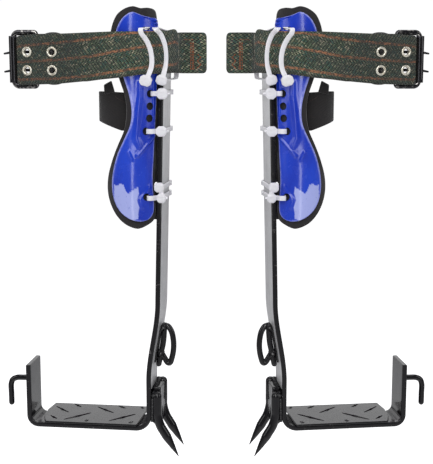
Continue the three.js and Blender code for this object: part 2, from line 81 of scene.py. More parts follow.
# ---- curves -------------------------------------------------------------------------------
def smooth(points, n, closed=False):
    """n points evenly spaced on a centripetal Catmull-Rom line through the given ones."""
    p = np.array(points, float)
    k = len(p)
    if closed:
        ctrl = np.vstack([p[-1], p, p[0], p[1]])
        spans = k
    else:
        ctrl = np.vstack([2 * p[0] - p[1], p, 2 * p[-1] - p[-2]])
        spans = k - 1
    out = []
    for i in range(spans):
        p0, p1, p2, p3 = ctrl[i : i + 4]
        t0 = 0.0
        t1 = t0 + max(np.linalg.norm(p1 - p0), 1e-6) ** 0.5
        t2 = t1 + max(np.linalg.norm(p2 - p1), 1e-6) ** 0.5
        t3 = t2 + max(np.linalg.norm(p3 - p2), 1e-6) ** 0.5
        for t in np.linspace(t1, t2, 24, endpoint=False):
            a1 = (t1 - t) / (t1 - t0) * p0 + (t - t0) / (t1 - t0) * p1
            a2 = (t2 - t) / (t2 - t1) * p1 + (t - t1) / (t2 - t1) * p2
            a3 = (t3 - t) / (t3 - t2) * p2 + (t - t2) / (t3 - t2) * p3
            b1 = (t2 - t) / (t2 - t0) * a1 + (t - t0) / (t2 - t0) * a2
            b2 = (t3 - t) / (t3 - t1) * a2 + (t - t1) / (t3 - t1) * a3
            out.append((t2 - t) / (t2 - t1) * b1 + (t - t1) / (t2 - t1) * b2)
    out.append(p[0] if closed else p[-1])
    return spaced(np.array(out), n, closed)


def spaced(line, n, closed=False):
    seg = np.linalg.norm(np.diff(line, axis=0), axis=1)
    s = np.concatenate([[0], np.cumsum(seg)])
    at = np.linspace(0, s[-1], n + 1)[:-1] if closed else np.linspace(0, s[-1], n)
    return np.stack([np.interp(at, s, line[:, c]) for c in range(line.shape[1])], axis=1)


def lengths(path):
    return np.concatenate([[0], np.cumsum(np.linalg.norm(np.diff(path, axis=0), axis=1))])


def rounded_rect(w, h, r, k=4):
    """Counter-clockwise outline with rounded corners, as an array of points."""
    pts = []
    for cx, cy, a0 in ((w / 2 - r, -h / 2 + r, -90), (w / 2 - r, h / 2 - r, 0),
                       (-w / 2 + r, h / 2 - r, 90), (-w / 2 + r, -h / 2 + r, 180)):
        for i in range(k + 1):
            a = math.radians(a0 + 90 * i / k)
            pts.append((cx + r * math.cos(a), cy + r * math.sin(a)))
    return np.array(pts)


def circle(r, k=18):
    a = np.linspace(0, 2 * math.pi, k, endpoint=False)
    return np.stack([r * np.cos(a), r * np.sin(a)], axis=1)


# ---- forms ---------------------------------------------------------------------------------
class Form:
    """Vertices, faces, UVs in mm, material numbers and a value of one piece that is wear on the metal parts and a
    painted edge highlight on the blue shell.
    """

    def __init__(self):
        self.v, self.f, self.uv, self.m, self.worn, self.mask = [], [], [], [], [], []

    def grid(self, p, uv=None, wrap_u=False, wrap_v=False, mat=0, flip=False, worn=None, mask=None):
        nu, nv = p.shape[:2]
        base = len(self.v)
        self.v.extend(map(tuple, p.reshape(-1, 3)))
        self.worn.extend(np.zeros(nu * nv) if worn is None else np.broadcast_to(worn, (nu, nv)).reshape(-1))
        self.mask.extend(np.zeros(nu * nv) if mask is None else np.broadcast_to(mask, (nu, nv)).reshape(-1))
        if uv is None:
            du = np.linalg.norm(np.diff(np.vstack([p[:, 0], p[:1, 0]]), axis=0), axis=1)
            dv = np.linalg.norm(np.diff(np.vstack([p[0], p[:1][0][:1]]), axis=0), axis=1)
            us = np.concatenate([[0], np.cumsum(du)])
            vs = np.concatenate([[0], np.cumsum(dv)])
            uv = np.stack(np.meshgrid(us, vs, indexing="ij"), axis=-1)
        for i in range(nu if wrap_u else nu - 1):
            for j in range(nv if wrap_v else nv - 1):
                i2, j2 = (i + 1) % nu, (j + 1) % nv
                q = [base + i * nv + j, base + i * nv + j2, base + i2 * nv + j2, base + i2 * nv + j]
                t = [uv[i, j], uv[i, j + 1], uv[i + 1, j + 1], uv[i + 1, j]]
                if flip:
                    q.reverse()
                    t.reverse()
                self.f.append(q)
                self.uv.extend(map(tuple, t))
                self.m.append(mat(i, j) if callable(mat) else mat)
        return base

    def face(self, ids, mat=0):
        self.f.append(list(ids))
        for i in ids:
            self.uv.append((self.v[i][0], self.v[i][2]))
        self.m.append(mat)

    def sweep(self, path, section, up, closed=False, scale=None, mat=0, caps=True, worn=None, cap_mat=None):
        path, section = np.array(path, float), np.array(section, float)
        n, m = len(path), len(section)
        if closed:
            t = np.roll(path, -1, 0) - np.roll(path, 1, 0)
        else:
            t = np.gradient(path, axis=0)
        t /= np.linalg.norm(t, axis=1)[:, None]
        up = np.broadcast_to(np.array(up, float), (n, 3))
        a = np.cross(up, t)
        a /= np.linalg.norm(a, axis=1)[:, None]
        b = np.cross(t, a)
        s = np.ones((n, 2)) if scale is None else np.array(scale, float).reshape(n, -1) * np.ones((1, 2))
        p = path[:, None] + a[:, None] * (section[None, :, 0:1] * s[:, None, 0:1]) \
            + b[:, None] * (section[None, :, 1:2] * s[:, None, 1:2])
        base = self.grid(p, None, closed, True, mat, False, worn)
        if caps and not closed:
            end = mat if cap_mat is None else cap_mat
            end = 0 if callable(end) else end
            self.face([base + j for j in reversed(range(m))], end)
            self.face([base + (n - 1) * m + j for j in range(m)], end)
        return p

    def rod(self, points, r, n=48, up=Y_AXIS, sides=18, ends=("round", "round"), taper=None, mat=0, raw=False):
        path = np.array(points, float) if raw else smooth(points, n)
        s = lengths(path)
        scale = np.ones(len(path)) if taper is None else np.interp(s, *zip(*taper(s[-1])))
        for side in (0, 1):
            if ends[side] != "round":
                continue
            at, nxt = (path[0], path[1]) if side == 0 else (path[-1], path[-2])
            out = (at - nxt) / np.linalg.norm(at - nxt)
            end_scale = scale[0] if side == 0 else scale[-1]
            angles = np.radians([25, 48, 68, 84])
            extra = np.array([at + out * r * end_scale * math.sin(q) for q in angles])
            grow = end_scale * np.cos(angles)
            if side == 0:
                path, scale = np.vstack([extra[::-1], path]), np.concatenate([grow[::-1], scale])
            else:
                path, scale = np.vstack([path, extra]), np.concatenate([scale, grow])
        return self.sweep(path, circle(r, sides), up, False, scale, mat)

    def lathe(self, profile, centre, axis="z", turn=0.0, k=48, mat=0, wobble=None):
        """A closed (radius, height) profile, counter-clockwise, turned round an axis."""
        prof = np.array(profile, float)
        ang = np.linspace(0, 2 * math.pi, k, endpoint=False)
        rr = prof[None, :, 0] * (np.ones((k, 1)) if wobble is None else wobble(ang)[:, None])
        ca, sa = np.cos(ang)[:, None], np.sin(ang)[:, None]
        h = np.broadcast_to(prof[None, :, 1], rr.shape)
        if axis == "z":
            p = np.stack([rr * ca, rr * sa, h], axis=-1)
        else:  # axis y: height runs towards -y
            p = np.stack([rr * ca, -h, rr * sa], axis=-1)
        c, s = math.cos(turn), math.sin(turn)
        p = np.stack([p[..., 0] * c - p[..., 1] * s, p[..., 0] * s + p[..., 1] * c, p[..., 2]], axis=-1)
        self.grid(p + np.array(centre), None, True, True, mat)

    def blob(self, centre, radii, seed=0, amp=0.12, mat=0, k=20):
        th = np.linspace(0, math.pi, k // 2 + 1)[1:-1]
        ph = np.linspace(0, 2 * math.pi, k, endpoint=False)
        rows = []
        for t in th:
            row = []
            for q in ph:
                d = np.array([math.sin(t) * math.cos(q), math.sin(t) * math.sin(q), -math.cos(t)])
                g = 1 + amp * noise.noise(Vector(d * 2.2 + seed * 7.1)) * 2
                row.append(np.array(centre) + d * np.array(radii) * g)
            rows.append(row)
        p = np.array(rows)
        base = self.grid(p, None, False, True, mat, True)
        n, m = p.shape[:2]
        for pole, ring, sign in ((-1, 0, 1), (1, n - 1, -1)):
            self.v.append(tuple(np.array(centre) + np.array([0, 0, pole * radii[2]])))
            self.worn.append(0)
            self.mask.append(0)
            tip = len(self.v) - 1
            for j in range(m):
                ids = [base + ring * m + j, tip, base + ring * m + (j + 1) % m]
                self.face(ids if sign > 0 else ids[::-1], mat)

    def box(self, centre, size, r, turn=0.0, mat=0, k=4, axis="z", shape=None):
        """A box with rounded edges, welded later."""
        half = np.array(size, float) / 2
        r = min(r, *(half - 0.01))

        def steps(h):
            e = r * (1 - np.cos(np.linspace(0, math.pi / 2, k + 1)))
            mid = np.linspace(-h + r, h - r, max(2, int(h / 2) + 1))
            return np.concatenate([-h + e[:-1], mid, (h - e[:-1])[::-1]])

        c, s = math.cos(turn), math.sin(turn)
        for ax in range(3):
            o1, o2 = (ax + 1) % 3, (ax + 2) % 3
            g1, g2 = np.meshgrid(steps(half[o1]), steps(half[o2]), indexing="ij")
            for sign in (-1, 1):
                q = np.zeros(g1.shape + (3,))
                q[..., ax], q[..., o1], q[..., o2] = sign * half[ax], g1, g2
                core = np.clip(q, -half + r, half - r)
                d = q - core
                q = core + d / np.maximum(np.linalg.norm(d, axis=-1, keepdims=True), 1e-9) * r
                if shape is not None:
                    q = shape(q)
                if axis == "z":
                    w = np.stack([q[..., 0] * c - q[..., 1] * s, q[..., 0] * s + q[..., 1] * c, q[..., 2]], -1)
                else:
                    w = np.stack([q[..., 0] * c - q[..., 2] * s, q[..., 1], q[..., 0] * s + q[..., 2] * c], -1)
                self.grid(w + np.array(centre), None, False, False, mat, sign > 0)


def world(points, sign):
    p = np.array(points, float)
    x = (math.cos(TOE) * p[:, 0] + math.sin(TOE) * p[:, 1] - SPUR_X) * sign
    y = -math.sin(TOE) * p[:, 0] + math.cos(TOE) * p[:, 1]
    return np.stack([x, y, p[:, 2]], axis=1) / 1000


def raw_object(name, form, sign, mats):
    mesh = bpy.data.meshes.new(name)
    faces = form.f if sign > 0 else [f[::-1] for f in form.f]
    mesh.from_pydata(world(form.v, sign).tolist(), [], faces)
    layer = mesh.uv_layers.new(name="mm")
    k = 0
    for f in form.f:
        corners = form.uv[k : k + len(f)]
        if sign < 0:
            corners = corners[::-1]
        for i, c in enumerate(corners):
            layer.data[k + i].uv = c
        k += len(f)
    mesh.polygons.foreach_set("material_index", form.m)
    for label, values in (("worn", form.worn), ("mask", form.mask)):
        mesh.attributes.new(label, "FLOAT", "POINT").data.foreach_set("value", np.array(values, "f"))
    for m in mats:
        mesh.materials.append(m)
    obj = bpy.data.objects.new(name, mesh)
    bpy.context.scene.collection.objects.link(obj)
    return obj


def weld(obj, angle, closed=False):
    bm = bmesh.new()
    bm.from_mesh(obj.data)
    bmesh.ops.remove_doubles(bm, verts=bm.verts, dist=2e-6)
    if closed:
        bmesh.ops.recalc_face_normals(bm, faces=bm.faces)
    bm.to_mesh(obj.data)
    bm.free()
    obj.data.polygons.foreach_set("use_smooth", [True] * len(obj.data.polygons))
    obj.data.set_sharp_from_angle(angle=math.radians(angle))


def emit(name, form, mats, body, nodes, cutter=None, angle=38):
    for side, sign in (("left", 1), ("right", -1)):
        obj = raw_object(f"{name}_{side}", form, sign, mats)
        weld(obj, angle, cutter is not None)
        if cutter is not None:
            tool = raw_object("tool", cutter, sign, mats)
            weld(tool, angle, True)
            mod = obj.modifiers.new("cut", "BOOLEAN")
            mod.operation, mod.object, mod.solver = "DIFFERENCE", tool, "EXACT"
            mesh = bpy.data.meshes.new_from_object(obj.evaluated_get(bpy.context.evaluated_depsgraph_get()))
            obj.modifiers.clear()
            obj.data = mesh
            bpy.data.objects.remove(tool)
            mesh.polygons.foreach_set("use_smooth", [True] * len(mesh.polygons))
            mesh.set_sharp_from_angle(angle=math.radians(angle))
        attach(obj, f"{side}_{body}")
        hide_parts(*[f"{n}_{side}" for n in nodes])


# ---- materials -----------------------------------------------------------------------------
class Tree:
    """Short names for building a node material."""

    def __init__(self, name, **values):
        self.mat = bpy.data.materials.new(name)
        self.mat.use_nodes = True
        self.nt = self.mat.node_tree
        self.nt.nodes.clear()
        self.out = self.nt.nodes.new("ShaderNodeOutputMaterial")
        self.bsdf = self.nt.nodes.new("ShaderNodeBsdfPrincipled")
        self.nt.links.new(self.bsdf.outputs[0], self.out.inputs[0])
        for key, value in values.items():
            self.bsdf.inputs[key.replace("_", " ")].default_value = value

    def put(self, socket, value):
        if isinstance(value, bpy.types.NodeSocket):
            self.nt.links.new(value, socket)
        elif value is not None:
            socket.default_value = value

    def node(self, kind, inputs=None, **attrs):
        n = self.nt.nodes.new(kind)
        for k, v in attrs.items():
            setattr(n, k, v)
        for k, v in (inputs or {}).items():
            self.put(n.inputs[k], v)
        return n

    def math(self, op, a, b=None, c=None, clamp=False):
        n = self.nt.nodes.new("ShaderNodeMath")
        n.operation, n.use_clamp = op, clamp
        for i, v in enumerate((a, b, c)):
            if v is not None:
                self.put(n.inputs[i], v)
        return n.outputs[0]

    def mix(self, fac, a, b):
        n = self.nt.nodes.new("ShaderNodeMix")
        n.data_type = "RGBA"
        self.put(n.inputs[0], fac)
        self.put(n.inputs[6], a)
        self.put(n.inputs[7], b)
        return n.outputs[2]

    def range(self, x, a, b, c, d):
        n = self.node("ShaderNodeMapRange", {0: x, 1: a, 2: b, 3: c, 4: d})
        return n.outputs[0]

    def noise(self, scale, detail=3.0, rough=0.5, vector=None, stretch=None):
        if vector is None:
            vector = self.node("ShaderNodeTexCoord").outputs["Object"]
        if stretch is not None:
            vector = self.node("ShaderNodeVectorMath", {0: vector, 1: stretch}, operation="MULTIPLY").outputs[0]
        n = self.node("ShaderNodeTexNoise", {"Vector": vector, "Scale": scale, "Detail": detail, "Roughness": rough})
        return n.outputs[0]

    def attr(self, name):
        return self.node("ShaderNodeAttribute", attribute_name=name).outputs["Fac"]

    def bump(self, height, distance, strength=1.0, normal=None):
        n = self.node("ShaderNodeBump", {"Height": height, "Distance": distance, "Strength": strength})
        if normal is not None:
            self.put(n.inputs["Normal"], normal)
        return n.outputs[0]

    def set(self, **links):
        for key, value in links.items():
            self.put(self.bsdf.inputs[key.replace("_", " ")], value)
        return self.mat

    def ramp(self, fac, stops, kind="LINEAR"):
        n = self.node("ShaderNodeValToRGB", {0: fac})
        n.color_ramp.interpolation = kind
        e = n.color_ramp.elements
        while len(e) < len(stops):
            e.new(0.5)
        for i, (p, c) in enumerate(stops):
            e[i].position, e[i].color = p, c
        return n.outputs[0]


def grey(v):
    return (v, v, v, 1)


def enamel_material():
    t = Tree("black_paint", Coat_Weight=0.35, Coat_Roughness=0.05, Specular_IOR_Level=0.35)
    colour = t.mix(t.noise(60, 4), (0.003, 0.003, 0.004, 1), (0.007, 0.006, 0.008, 1))
    edge = t.math("MULTIPLY", t.attr("worn"), t.range(t.noise(230, 6, 0.7), 0.63, 0.67, 0, 1))
    rare = t.math("MULTIPLY", t.range(t.noise(1100, 3, 0.6), 0.72, 0.76, 0, 0.8),
                  t.range(t.noise(30), 0.60, 0.68, 0, 1))
    chips = t.math("MAXIMUM", edge, rare)
    colour = t.mix(chips, colour, (0.20, 0.19, 0.19, 1))
    rough = t.math("ADD", t.range(t.noise(90, 5), 0.3, 0.7, 0.10, 0.24), t.math("MULTIPLY", chips, 0.2))
    return t.set(Base_Color=colour, Roughness=rough, Metallic=t.math("MULTIPLY", chips, 0.8),
                 Normal=t.bump(t.noise(420, 2), 0.00005, 0.4))


# Painted reflection: the shank's outer face is coloured light silver-grey to stand for the pale backdrop reflected in
# its glossy black paint; streaks, smudges and pits vary it at random.
def shank_face_painted_reflection_material():
    t = Tree("shank_face_painted_reflection", Metallic=0.45)
    streak = t.noise(520, 4, 0.6, stretch=(1, 1, 0.04))
    smudge = t.noise(38, 4)
    colour = t.mix(t.range(smudge, 0.35, 0.7, 0, 1), (0.80, 0.80, 0.81, 1), (0.68, 0.68, 0.69, 1))
    colour = t.mix(t.range(streak, 0.45, 0.75, 0, 0.4), colour, (0.46, 0.46, 0.47, 1))
    pits = t.range(t.noise(1500, 2), 0.66, 0.72, 0, 1)
    colour = t.mix(t.math("MULTIPLY", pits, 0.7), colour, (0.08, 0.07, 0.07, 1))
    normal = t.bump(streak, 0.00006, 0.6)
    return t.set(Base_Color=colour, Roughness=t.range(streak, 0.3, 0.7, 0.34, 0.55), Normal=normal)


def nickel_material():
    t = Tree("black_nickel", Metallic=0.9, Coat_Weight=0.15, Coat_Roughness=0.05)
    colour = t.mix(t.noise(160, 4), (0.022, 0.022, 0.026, 1), (0.055, 0.054, 0.058, 1))
    rub_and_edge_highlight = t.math("MULTIPLY", t.attr("worn"), t.range(t.noise(330, 5), 0.5, 0.62, 0, 0.7))
    colour = t.mix(rub_and_edge_highlight, colour, (0.55, 0.53, 0.50, 1))
    return t.set(Base_Color=colour, Roughness=t.range(t.noise(240, 5), 0.3, 0.7, 0.08, 0.22),
                 Normal=t.bump(t.noise(700, 2), 0.00003, 0.4))


def brass_material():
    t = Tree("pale_brass", Metallic=0.75)
    tarnish = t.range(t.noise(420, 5, 0.6), 0.48, 0.66, 0, 0.75)
    colour = t.mix(tarnish, (0.80, 0.77, 0.66, 1), (0.42, 0.34, 0.22, 1))
    return t.set(Base_Color=colour, Roughness=t.range(t.noise(600, 4), 0.3, 0.7, 0.2, 0.42),
                 Normal=t.bump(t.noise(900, 3), 0.00004, 0.5))


def shell_material():
    t = Tree("blue_shell", Coat_Weight=0.4, Coat_Roughness=0.10, Specular_IOR_Level=0.45)
    flow = t.noise(34, 4, 0.55, stretch=(1, 1, 0.45))
    colour = t.mix(t.range(flow, 0.35, 0.68, 0, 1), (0.008, 0.035, 0.47, 1), (0.012, 0.060, 0.62, 1))
    speck = t.range(t.noise(800, 3, 0.6), 0.62, 0.70, 0, 0.3)
    colour = t.mix(speck, colour, (0.03, 0.12, 0.75, 1))
    patch = t.math("MULTIPLY", t.attr("mask"), t.range(t.noise(520, 5, 0.7), 0.30, 0.40, 0.35, 1))
    colour = t.mix(patch, colour, (0.40, 0.45, 0.86, 1))
    # Painted highlight: along the shell's edges the blue turns pale lavender, following the edge value and broken up by
    # noise.
    rub_and_edge_highlight = t.math("MULTIPLY", t.attr("worn"), t.range(t.noise(300, 5, 0.6), 0.34, 0.52, 0.25, 0.9))
    colour = t.mix(rub_and_edge_highlight, colour, (0.36, 0.40, 0.86, 1))
    scratch = t.range(t.noise(900, 3, 0.6, stretch=(1, 1, 0.12)), 0.70, 0.76, 0, 0.4)
    colour = t.mix(scratch, colour, (0.14, 0.24, 0.82, 1))
    rough = t.range(t.noise(140, 5), 0.3, 0.7, 0.17, 0.30)
    rough = t.math("ADD", rough, t.math("MULTIPLY", patch, 0.2))
    height = t.math("ADD", t.noise(260, 3), t.math("MULTIPLY", flow, 2.0))
    return t.set(Base_Color=colour, Roughness=rough, Normal=t.bump(height, 0.00018, 0.5))


# Painted highlight: the shell's rim is coloured pale lavender-blue, lighter than the shell, to stand for light caught
# along its edge.
def rim_painted_highlight_material():
    t = Tree("blue_rim_painted_highlight", Specular_IOR_Level=0.5)
    colour = t.mix(t.noise(300, 4), (0.12, 0.17, 0.74, 1), (0.46, 0.48, 0.88, 1))
    return t.set(Base_Color=colour, Roughness=t.range(t.noise(500), 0.3, 0.7, 0.35, 0.55),
                 Normal=t.bump(t.noise(700, 3), 0.0001, 0.5))


# Painted shade: the walls of the holes and slots cut through the blue shell are a much darker blue than the shell
# itself.
def hole_wall_painted_shade_material():
    t = Tree("hole_wall_painted_shade", Specular_IOR_Level=0.4)
    colour = t.mix(t.noise(400, 3), (0.004, 0.010, 0.11, 1), (0.03, 0.05, 0.30, 1))
    return t.set(Base_Color=colour, Roughness=t.range(t.noise(500), 0.3, 0.7, 0.3, 0.5))


def foam_material():
    t = Tree("black_foam", Roughness=0.88, Sheen_Weight=0.25, Sheen_Roughness=0.5)
    cell = t.node("ShaderNodeTexVoronoi", {"Scale": 900.0,
                  "Vector": t.node("ShaderNodeTexCoord").outputs["Object"]}).outputs[0]
    colour = t.mix(t.noise(70, 5), (0.008, 0.007, 0.008, 1), (0.022, 0.019, 0.020, 1))
    colour = t.mix(t.range(cell, 0.0, 0.35, 0.5, 0), colour, (0.004, 0.003, 0.004, 1))
    height = t.math("ADD", t.math("MULTIPLY", cell, 0.6), t.noise(180, 4))
    return t.set(Base_Color=colour, Normal=t.bump(height, 0.00035, 0.7))


def uv_parts(t):
    uv = t.node("ShaderNodeUVMap", uv_map="mm").outputs[0]
    sep = t.node("ShaderNodeSeparateXYZ", {0: uv})
    return sep.outputs[0], sep.outputs[1]


def elastic_material():
    t = Tree("black_elastic", Roughness=0.85, Sheen_Weight=0.3, Sheen_Roughness=0.45)
    u, v = uv_parts(t)
    rib = t.math("SINE", t.math("MULTIPLY", v, 2 * math.pi / 1.25))
    pick = t.math("SINE", t.math("MULTIPLY", u, 2 * math.pi / 0.9))
    weave = t.math("ADD", t.math("MULTIPLY", rib, 0.5), t.math("MULTIPLY", pick, 0.3))
    base = t.mix(t.noise(55, 5), (0.006, 0.0055, 0.006, 1), (0.017, 0.014, 0.0145, 1))
    brown = t.math("MULTIPLY", t.range(t.noise(420, 4, 0.6, stretch=(0.25, 0.25, 1)), 0.6, 0.7, 0, 0.5),
                   t.range(rib, 0.2, 0.9, 0, 1))
    base = t.mix(brown, base, (0.055, 0.030, 0.024, 1))
    return t.set(Base_Color=base, Normal=t.bump(weave, 0.00022, 0.8))


def rubber_material():
    t = Tree("black_keeper", Specular_IOR_Level=0.45)
    colour = t.mix(t.noise(140, 4), (0.007, 0.007, 0.008, 1), (0.018, 0.016, 0.017, 1))
    return t.set(Base_Color=colour, Roughness=t.range(t.noise(320, 4), 0.3, 0.7, 0.32, 0.55),
                 Normal=t.bump(t.noise(900, 4), 0.0001, 0.5))


def nylon_material():
    t = Tree("white_nylon", Subsurface_Weight=0.25, Subsurface_Scale=0.0015, Specular_IOR_Level=0.5)
    t.bsdf.inputs["Subsurface Radius"].default_value = (1.0, 0.9, 0.95)
    colour = t.mix(t.noise(170, 4), (0.80, 0.79, 0.84, 1), (0.90, 0.89, 0.92, 1))
    dirt = t.range(t.noise(430, 5, 0.65), 0.62, 0.74, 0, 0.35)
    colour = t.mix(dirt, colour, (0.55, 0.53, 0.55, 1))
    return t.set(Base_Color=colour, Roughness=t.range(t.noise(360, 3), 0.3, 0.7, 0.28, 0.45),
                 Normal=t.bump(t.noise(800, 3), 0.00005, 0.5))


def webbing_material(name, checker):
    t = Tree(name, Roughness=0.9, Sheen_Weight=0.25, Sheen_Roughness=0.5)
    u, v = uv_parts(t)
    pitch_u, pitch_v = (2.1, 1.7) if checker else (1.45, 1.15)
    across = t.math("DIVIDE", v, pitch_v)
    fold = t.math("PINGPONG", across, 7.0) if not checker else t.math("MULTIPLY", across, 0.5)
    along = t.math("ADD", t.math("DIVIDE", u, pitch_u), t.math("MULTIPLY", fold, 0.5))
    row, column = t.math("FLOOR", across), t.math("FLOOR", along)
    cell = t.node("ShaderNodeCombineXYZ", {0: column, 1: row, 2: 0.0}).outputs[0]
    rand = t.node("ShaderNodeTexWhiteNoise", {"Vector": cell}, noise_dimensions="3D")
    pick = rand.outputs[0]
    parity = t.math("PINGPONG", t.math("ADD", column, row), 1.0)
    light = t.ramp(pick, [(0.0, (0.075, 0.125, 0.060, 1)), (0.30, (0.150, 0.210, 0.120, 1)),
                          (0.52, (0.060, 0.165, 0.110, 1)), (0.72, (0.290, 0.320, 0.190, 1)),
                          (0.90, (0.500, 0.480, 0.320, 1))], "CONSTANT")
    dark = t.ramp(pick, [(0.0, (0.006, 0.007, 0.006, 1)), (0.35, (0.018, 0.020, 0.018, 1)),
                         (0.60, (0.040, 0.030, 0.036, 1)), (0.80, (0.020, 0.040, 0.026, 1))], "CONSTANT")
    yarn = t.mix(t.math("MULTIPLY", parity, 0.92), dark, light)
    patchy = t.noise(45, 4)
    yarn = t.mix(t.range(patchy, 0.38, 0.68, 0.0, 0.45), yarn, (0.030, 0.032, 0.034, 1))
    where = t.math("DIVIDE", v, 48.0)
    white, black = (1, 1, 1, 1), (0, 0, 0, 1)
    if not checker:
        stops = [(0.0, black), (0.085, white), (0.135, black), (0.445, white), (0.495, black),
                 (0.765, white), (0.815, black)]
        stripe = t.ramp(where, stops, "CONSTANT")
        stripe_colour = t.mix(t.range(pick, 0.45, 0.55, 0, 1), (0.48, 0.20, 0.095, 1), (0.10, 0.055, 0.036, 1))
        mottled = t.range(t.math("ADD", pick, patchy), 0.45, 0.9, 0.25, 0.9)
        yarn = t.mix(t.math("MULTIPLY", stripe, mottled), yarn, stripe_colour)
    if not checker:
        # Painted shade: the front belt's yarn is darkened along its length, darkest at its buckle end and lightest a
        # little past its middle.
        painted_shade_along_belt = t.ramp(t.math("DIVIDE", u, 170.0), [(0.0, grey(0.42)), (0.34, grey(0.50)), (0.55, grey(0.92)),
                                                    (0.66, grey(1.0)), (0.78, grey(0.8)), (1.0, grey(0.62))])
        yarn = t.mix(t.math("MULTIPLY", painted_shade_along_belt, 1.0), (0.012, 0.012, 0.013, 1), yarn)
    border = t.ramp(where, [(0.0, white), (0.045, black), (0.955, black), (1.0, white)])
    yarn = t.mix(t.math("MULTIPLY", border, 0.7), yarn, (0.014, 0.014, 0.013, 1))
    bulge_u = t.math("SINE", t.math("MULTIPLY", t.math("FRACT", along), math.pi))
    bulge_v = t.math("SINE", t.math("MULTIPLY", t.math("FRACT", across), math.pi))
    height = t.math("MULTIPLY", t.math("MULTIPLY", bulge_u, bulge_v), t.math("ADD", parity, 0.35))
    normal = t.bump(height, 0.0006, 0.9)
    return t.set(Base_Color=yarn, Normal=t.bump(t.noise(2200, 2), 0.0001, 0.5, normal))


def thread_material(name, a, b):
    t = Tree(name, Roughness=0.8, Sheen_Weight=0.3)
    return t.set(Base_Color=t.mix(t.noise(700, 3), a, b), Normal=t.bump(t.noise(2500, 2), 0.0001, 0.8))


ENAMEL = enamel_material()
SHANK_FACE_PAINTED_REFLECTION = shank_face_painted_reflection_material()
NICKEL = nickel_material()
BRASS = brass_material()
BLUE = shell_material()
RIM_PAINTED_HIGHLIGHT = rim_painted_highlight_material()
HOLE_WALL_PAINTED_SHADE = hole_wall_painted_shade_material()
FOAM = foam_material()
ELASTIC = elastic_material()
RUBBER = rubber_material()
NYLON = nylon_material()
WEBBING = webbing_material("belt_webbing", False)
WEBBING_BACK = webbing_material("belt_webbing_back", True)
STITCH = thread_material("orange_thread", (0.34, 0.085, 0.022, 1), (0.16, 0.05, 0.02, 1))
FRAY = thread_material("pale_fray", (0.36, 0.34, 0.27, 1), (0.60, 0.56, 0.46, 1))


# ---- leg iron, plate and spikes --------------------------------------------------------------
def iron_line():
    """Middle line of the bar and the index where the shank begins."""
    small, large, mid_z = 9.5, 14.0, -5.0
    x0 = INNER_HALF + BAR_T / 2
    left, right = small - x0, x0 - large
    pts = [(-x0, 0, z) for z in np.linspace(58.5, mid_z + small + 2, 12)]
    pts += [(left - small * math.cos(a), 0, mid_z + small * (1 - math.sin(a))) for a in np.linspace(0, math.pi / 2, 13)]
    pts += [(x, 0, mid_z) for x in np.linspace(left + 4, right - 4, 22)]
    pts += [(right + large * math.sin(a), 0, mid_z + large * (1 - math.cos(a))) for a in np.linspace(0, math.pi / 2, 17)]
    start = len(pts)
    pts += [(shank_x(z), 0, z) for z in np.linspace(mid_z + large + 3, SHANK_TOP, 150)]
    return np.array(pts), start


def leg_iron():
    form = Form()
    line, start = iron_line()
    section = rounded_rect(BAR_T, BAR_W, 1.1, 4)
    # more points across the wide faces, so the finish can vary
    dense, flags = [], []
    m = len(section)
    for j in range(m):
        a, b = section[j], section[(j + 1) % m]
        dense.append(a)
        flags.append(1.0)
        if np.linalg.norm(b - a) > 8:
            for t in np.linspace(0, 1, 14)[1:-1]:
                dense.append(a + (b - a) * t)
                flags.append(0.0)
    dense = np.array(dense)
    section_x = dense[:, 0]

    # The shank's outer face above the welds takes the light silver-grey painted reflection; every other face is black
    # enamel.
    def which(i, j):
        outer = section_x[j] > BAR_T / 2 - 0.02 and section_x[(j + 1) % len(dense)] > BAR_T / 2 - 0.02
        return 1 if outer and i >= start and line[i][2] > 37 else 0

    worn = np.array(flags)[None, :]
    # the sawn ends are slightly rounded
    line[1], line[-2] = line[0] + (line[2] - line[0]) * 0.08, line[-1] + (line[-3] - line[-1]) * 0.08
    scale = np.ones((len(line), 2))
    scale[0] = scale[-1] = (0.74, 0.965)
    form.sweep(line, dense, Y_AXIS, False, scale, which, True, worn, cap_mat=0)
    form.v = twist(form.v)
    emit("iron", form, [ENAMEL, SHANK_FACE_PAINTED_REFLECTION], "spur", ["leg_iron"])


def slab_outline(points, r, k=5):
    """A convex outline with rounded corners, counter-clockwise."""
    p = np.array(points, float)
    out = []
    for i in range(len(p)):
        a, b, c = p[i - 1], p[i], p[(i + 1) % len(p)]
        u, w = (a - b) / np.linalg.norm(a - b), (c - b) / np.linalg.norm(c - b)
        for t in np.linspace(0, 1, k):
            out.append(b + u * r * (1 - t) ** 2 + w * r * t ** 2)
    return np.array(out)


def slab(form, outline, low, high, r, to3d, mat=0):
    """A flat plate with rounded edges; to3d turns (a, b, height) into x, y, z."""
    mid = outline.mean(0)
    nrm = np.roll(outline, -1, 0) - np.roll(outline, 1, 0)
    nrm = np.stack([nrm[:, 1], -nrm[:, 0]], 1)
    nrm /= np.linalg.norm(nrm, axis=1)[:, None]
    rows = []
    for h, inset in [(low, r), (low + 0.3 * r, 0.3 * r), (low + r, 0), (high - r, 0),
                     (high - 0.3 * r, 0.3 * r), (high, r)]:
        rows.append([to3d(*(p - n * inset), h) for p, n in zip(outline, nrm)])
    p = np.array(rows)
    base = form.grid(p, None, False, True, mat, True, worn=np.array([0.6, 1, 1, 1, 1, 0.6])[:, None])
    n, m = p.shape[:2]
    form.face([base + j for j in range(m)][::-1], mat)
    form.face([base + (n - 1) * m + j for j in range(m)], mat)


RIBS = [((-47.5, 27.2), (-27.4, 8.2)), ((-29, -14.9), (-3.3, 11.2)), ((-2.9, 30.7), (20.4, 12.2)),
        ((18.5, -13.4), (44.2, 12.9)), ((-45, -3), (-35, -12.5)), ((-5.6, -16.4), (-1.6, -12.6)),
        ((41.1, -16.2), (45.4, -11.7)), ((44, 35.5), (48.6, 31)), ((-29, 36.3), (-19, 27.5)), ((19, 36.5), (29, 29))]


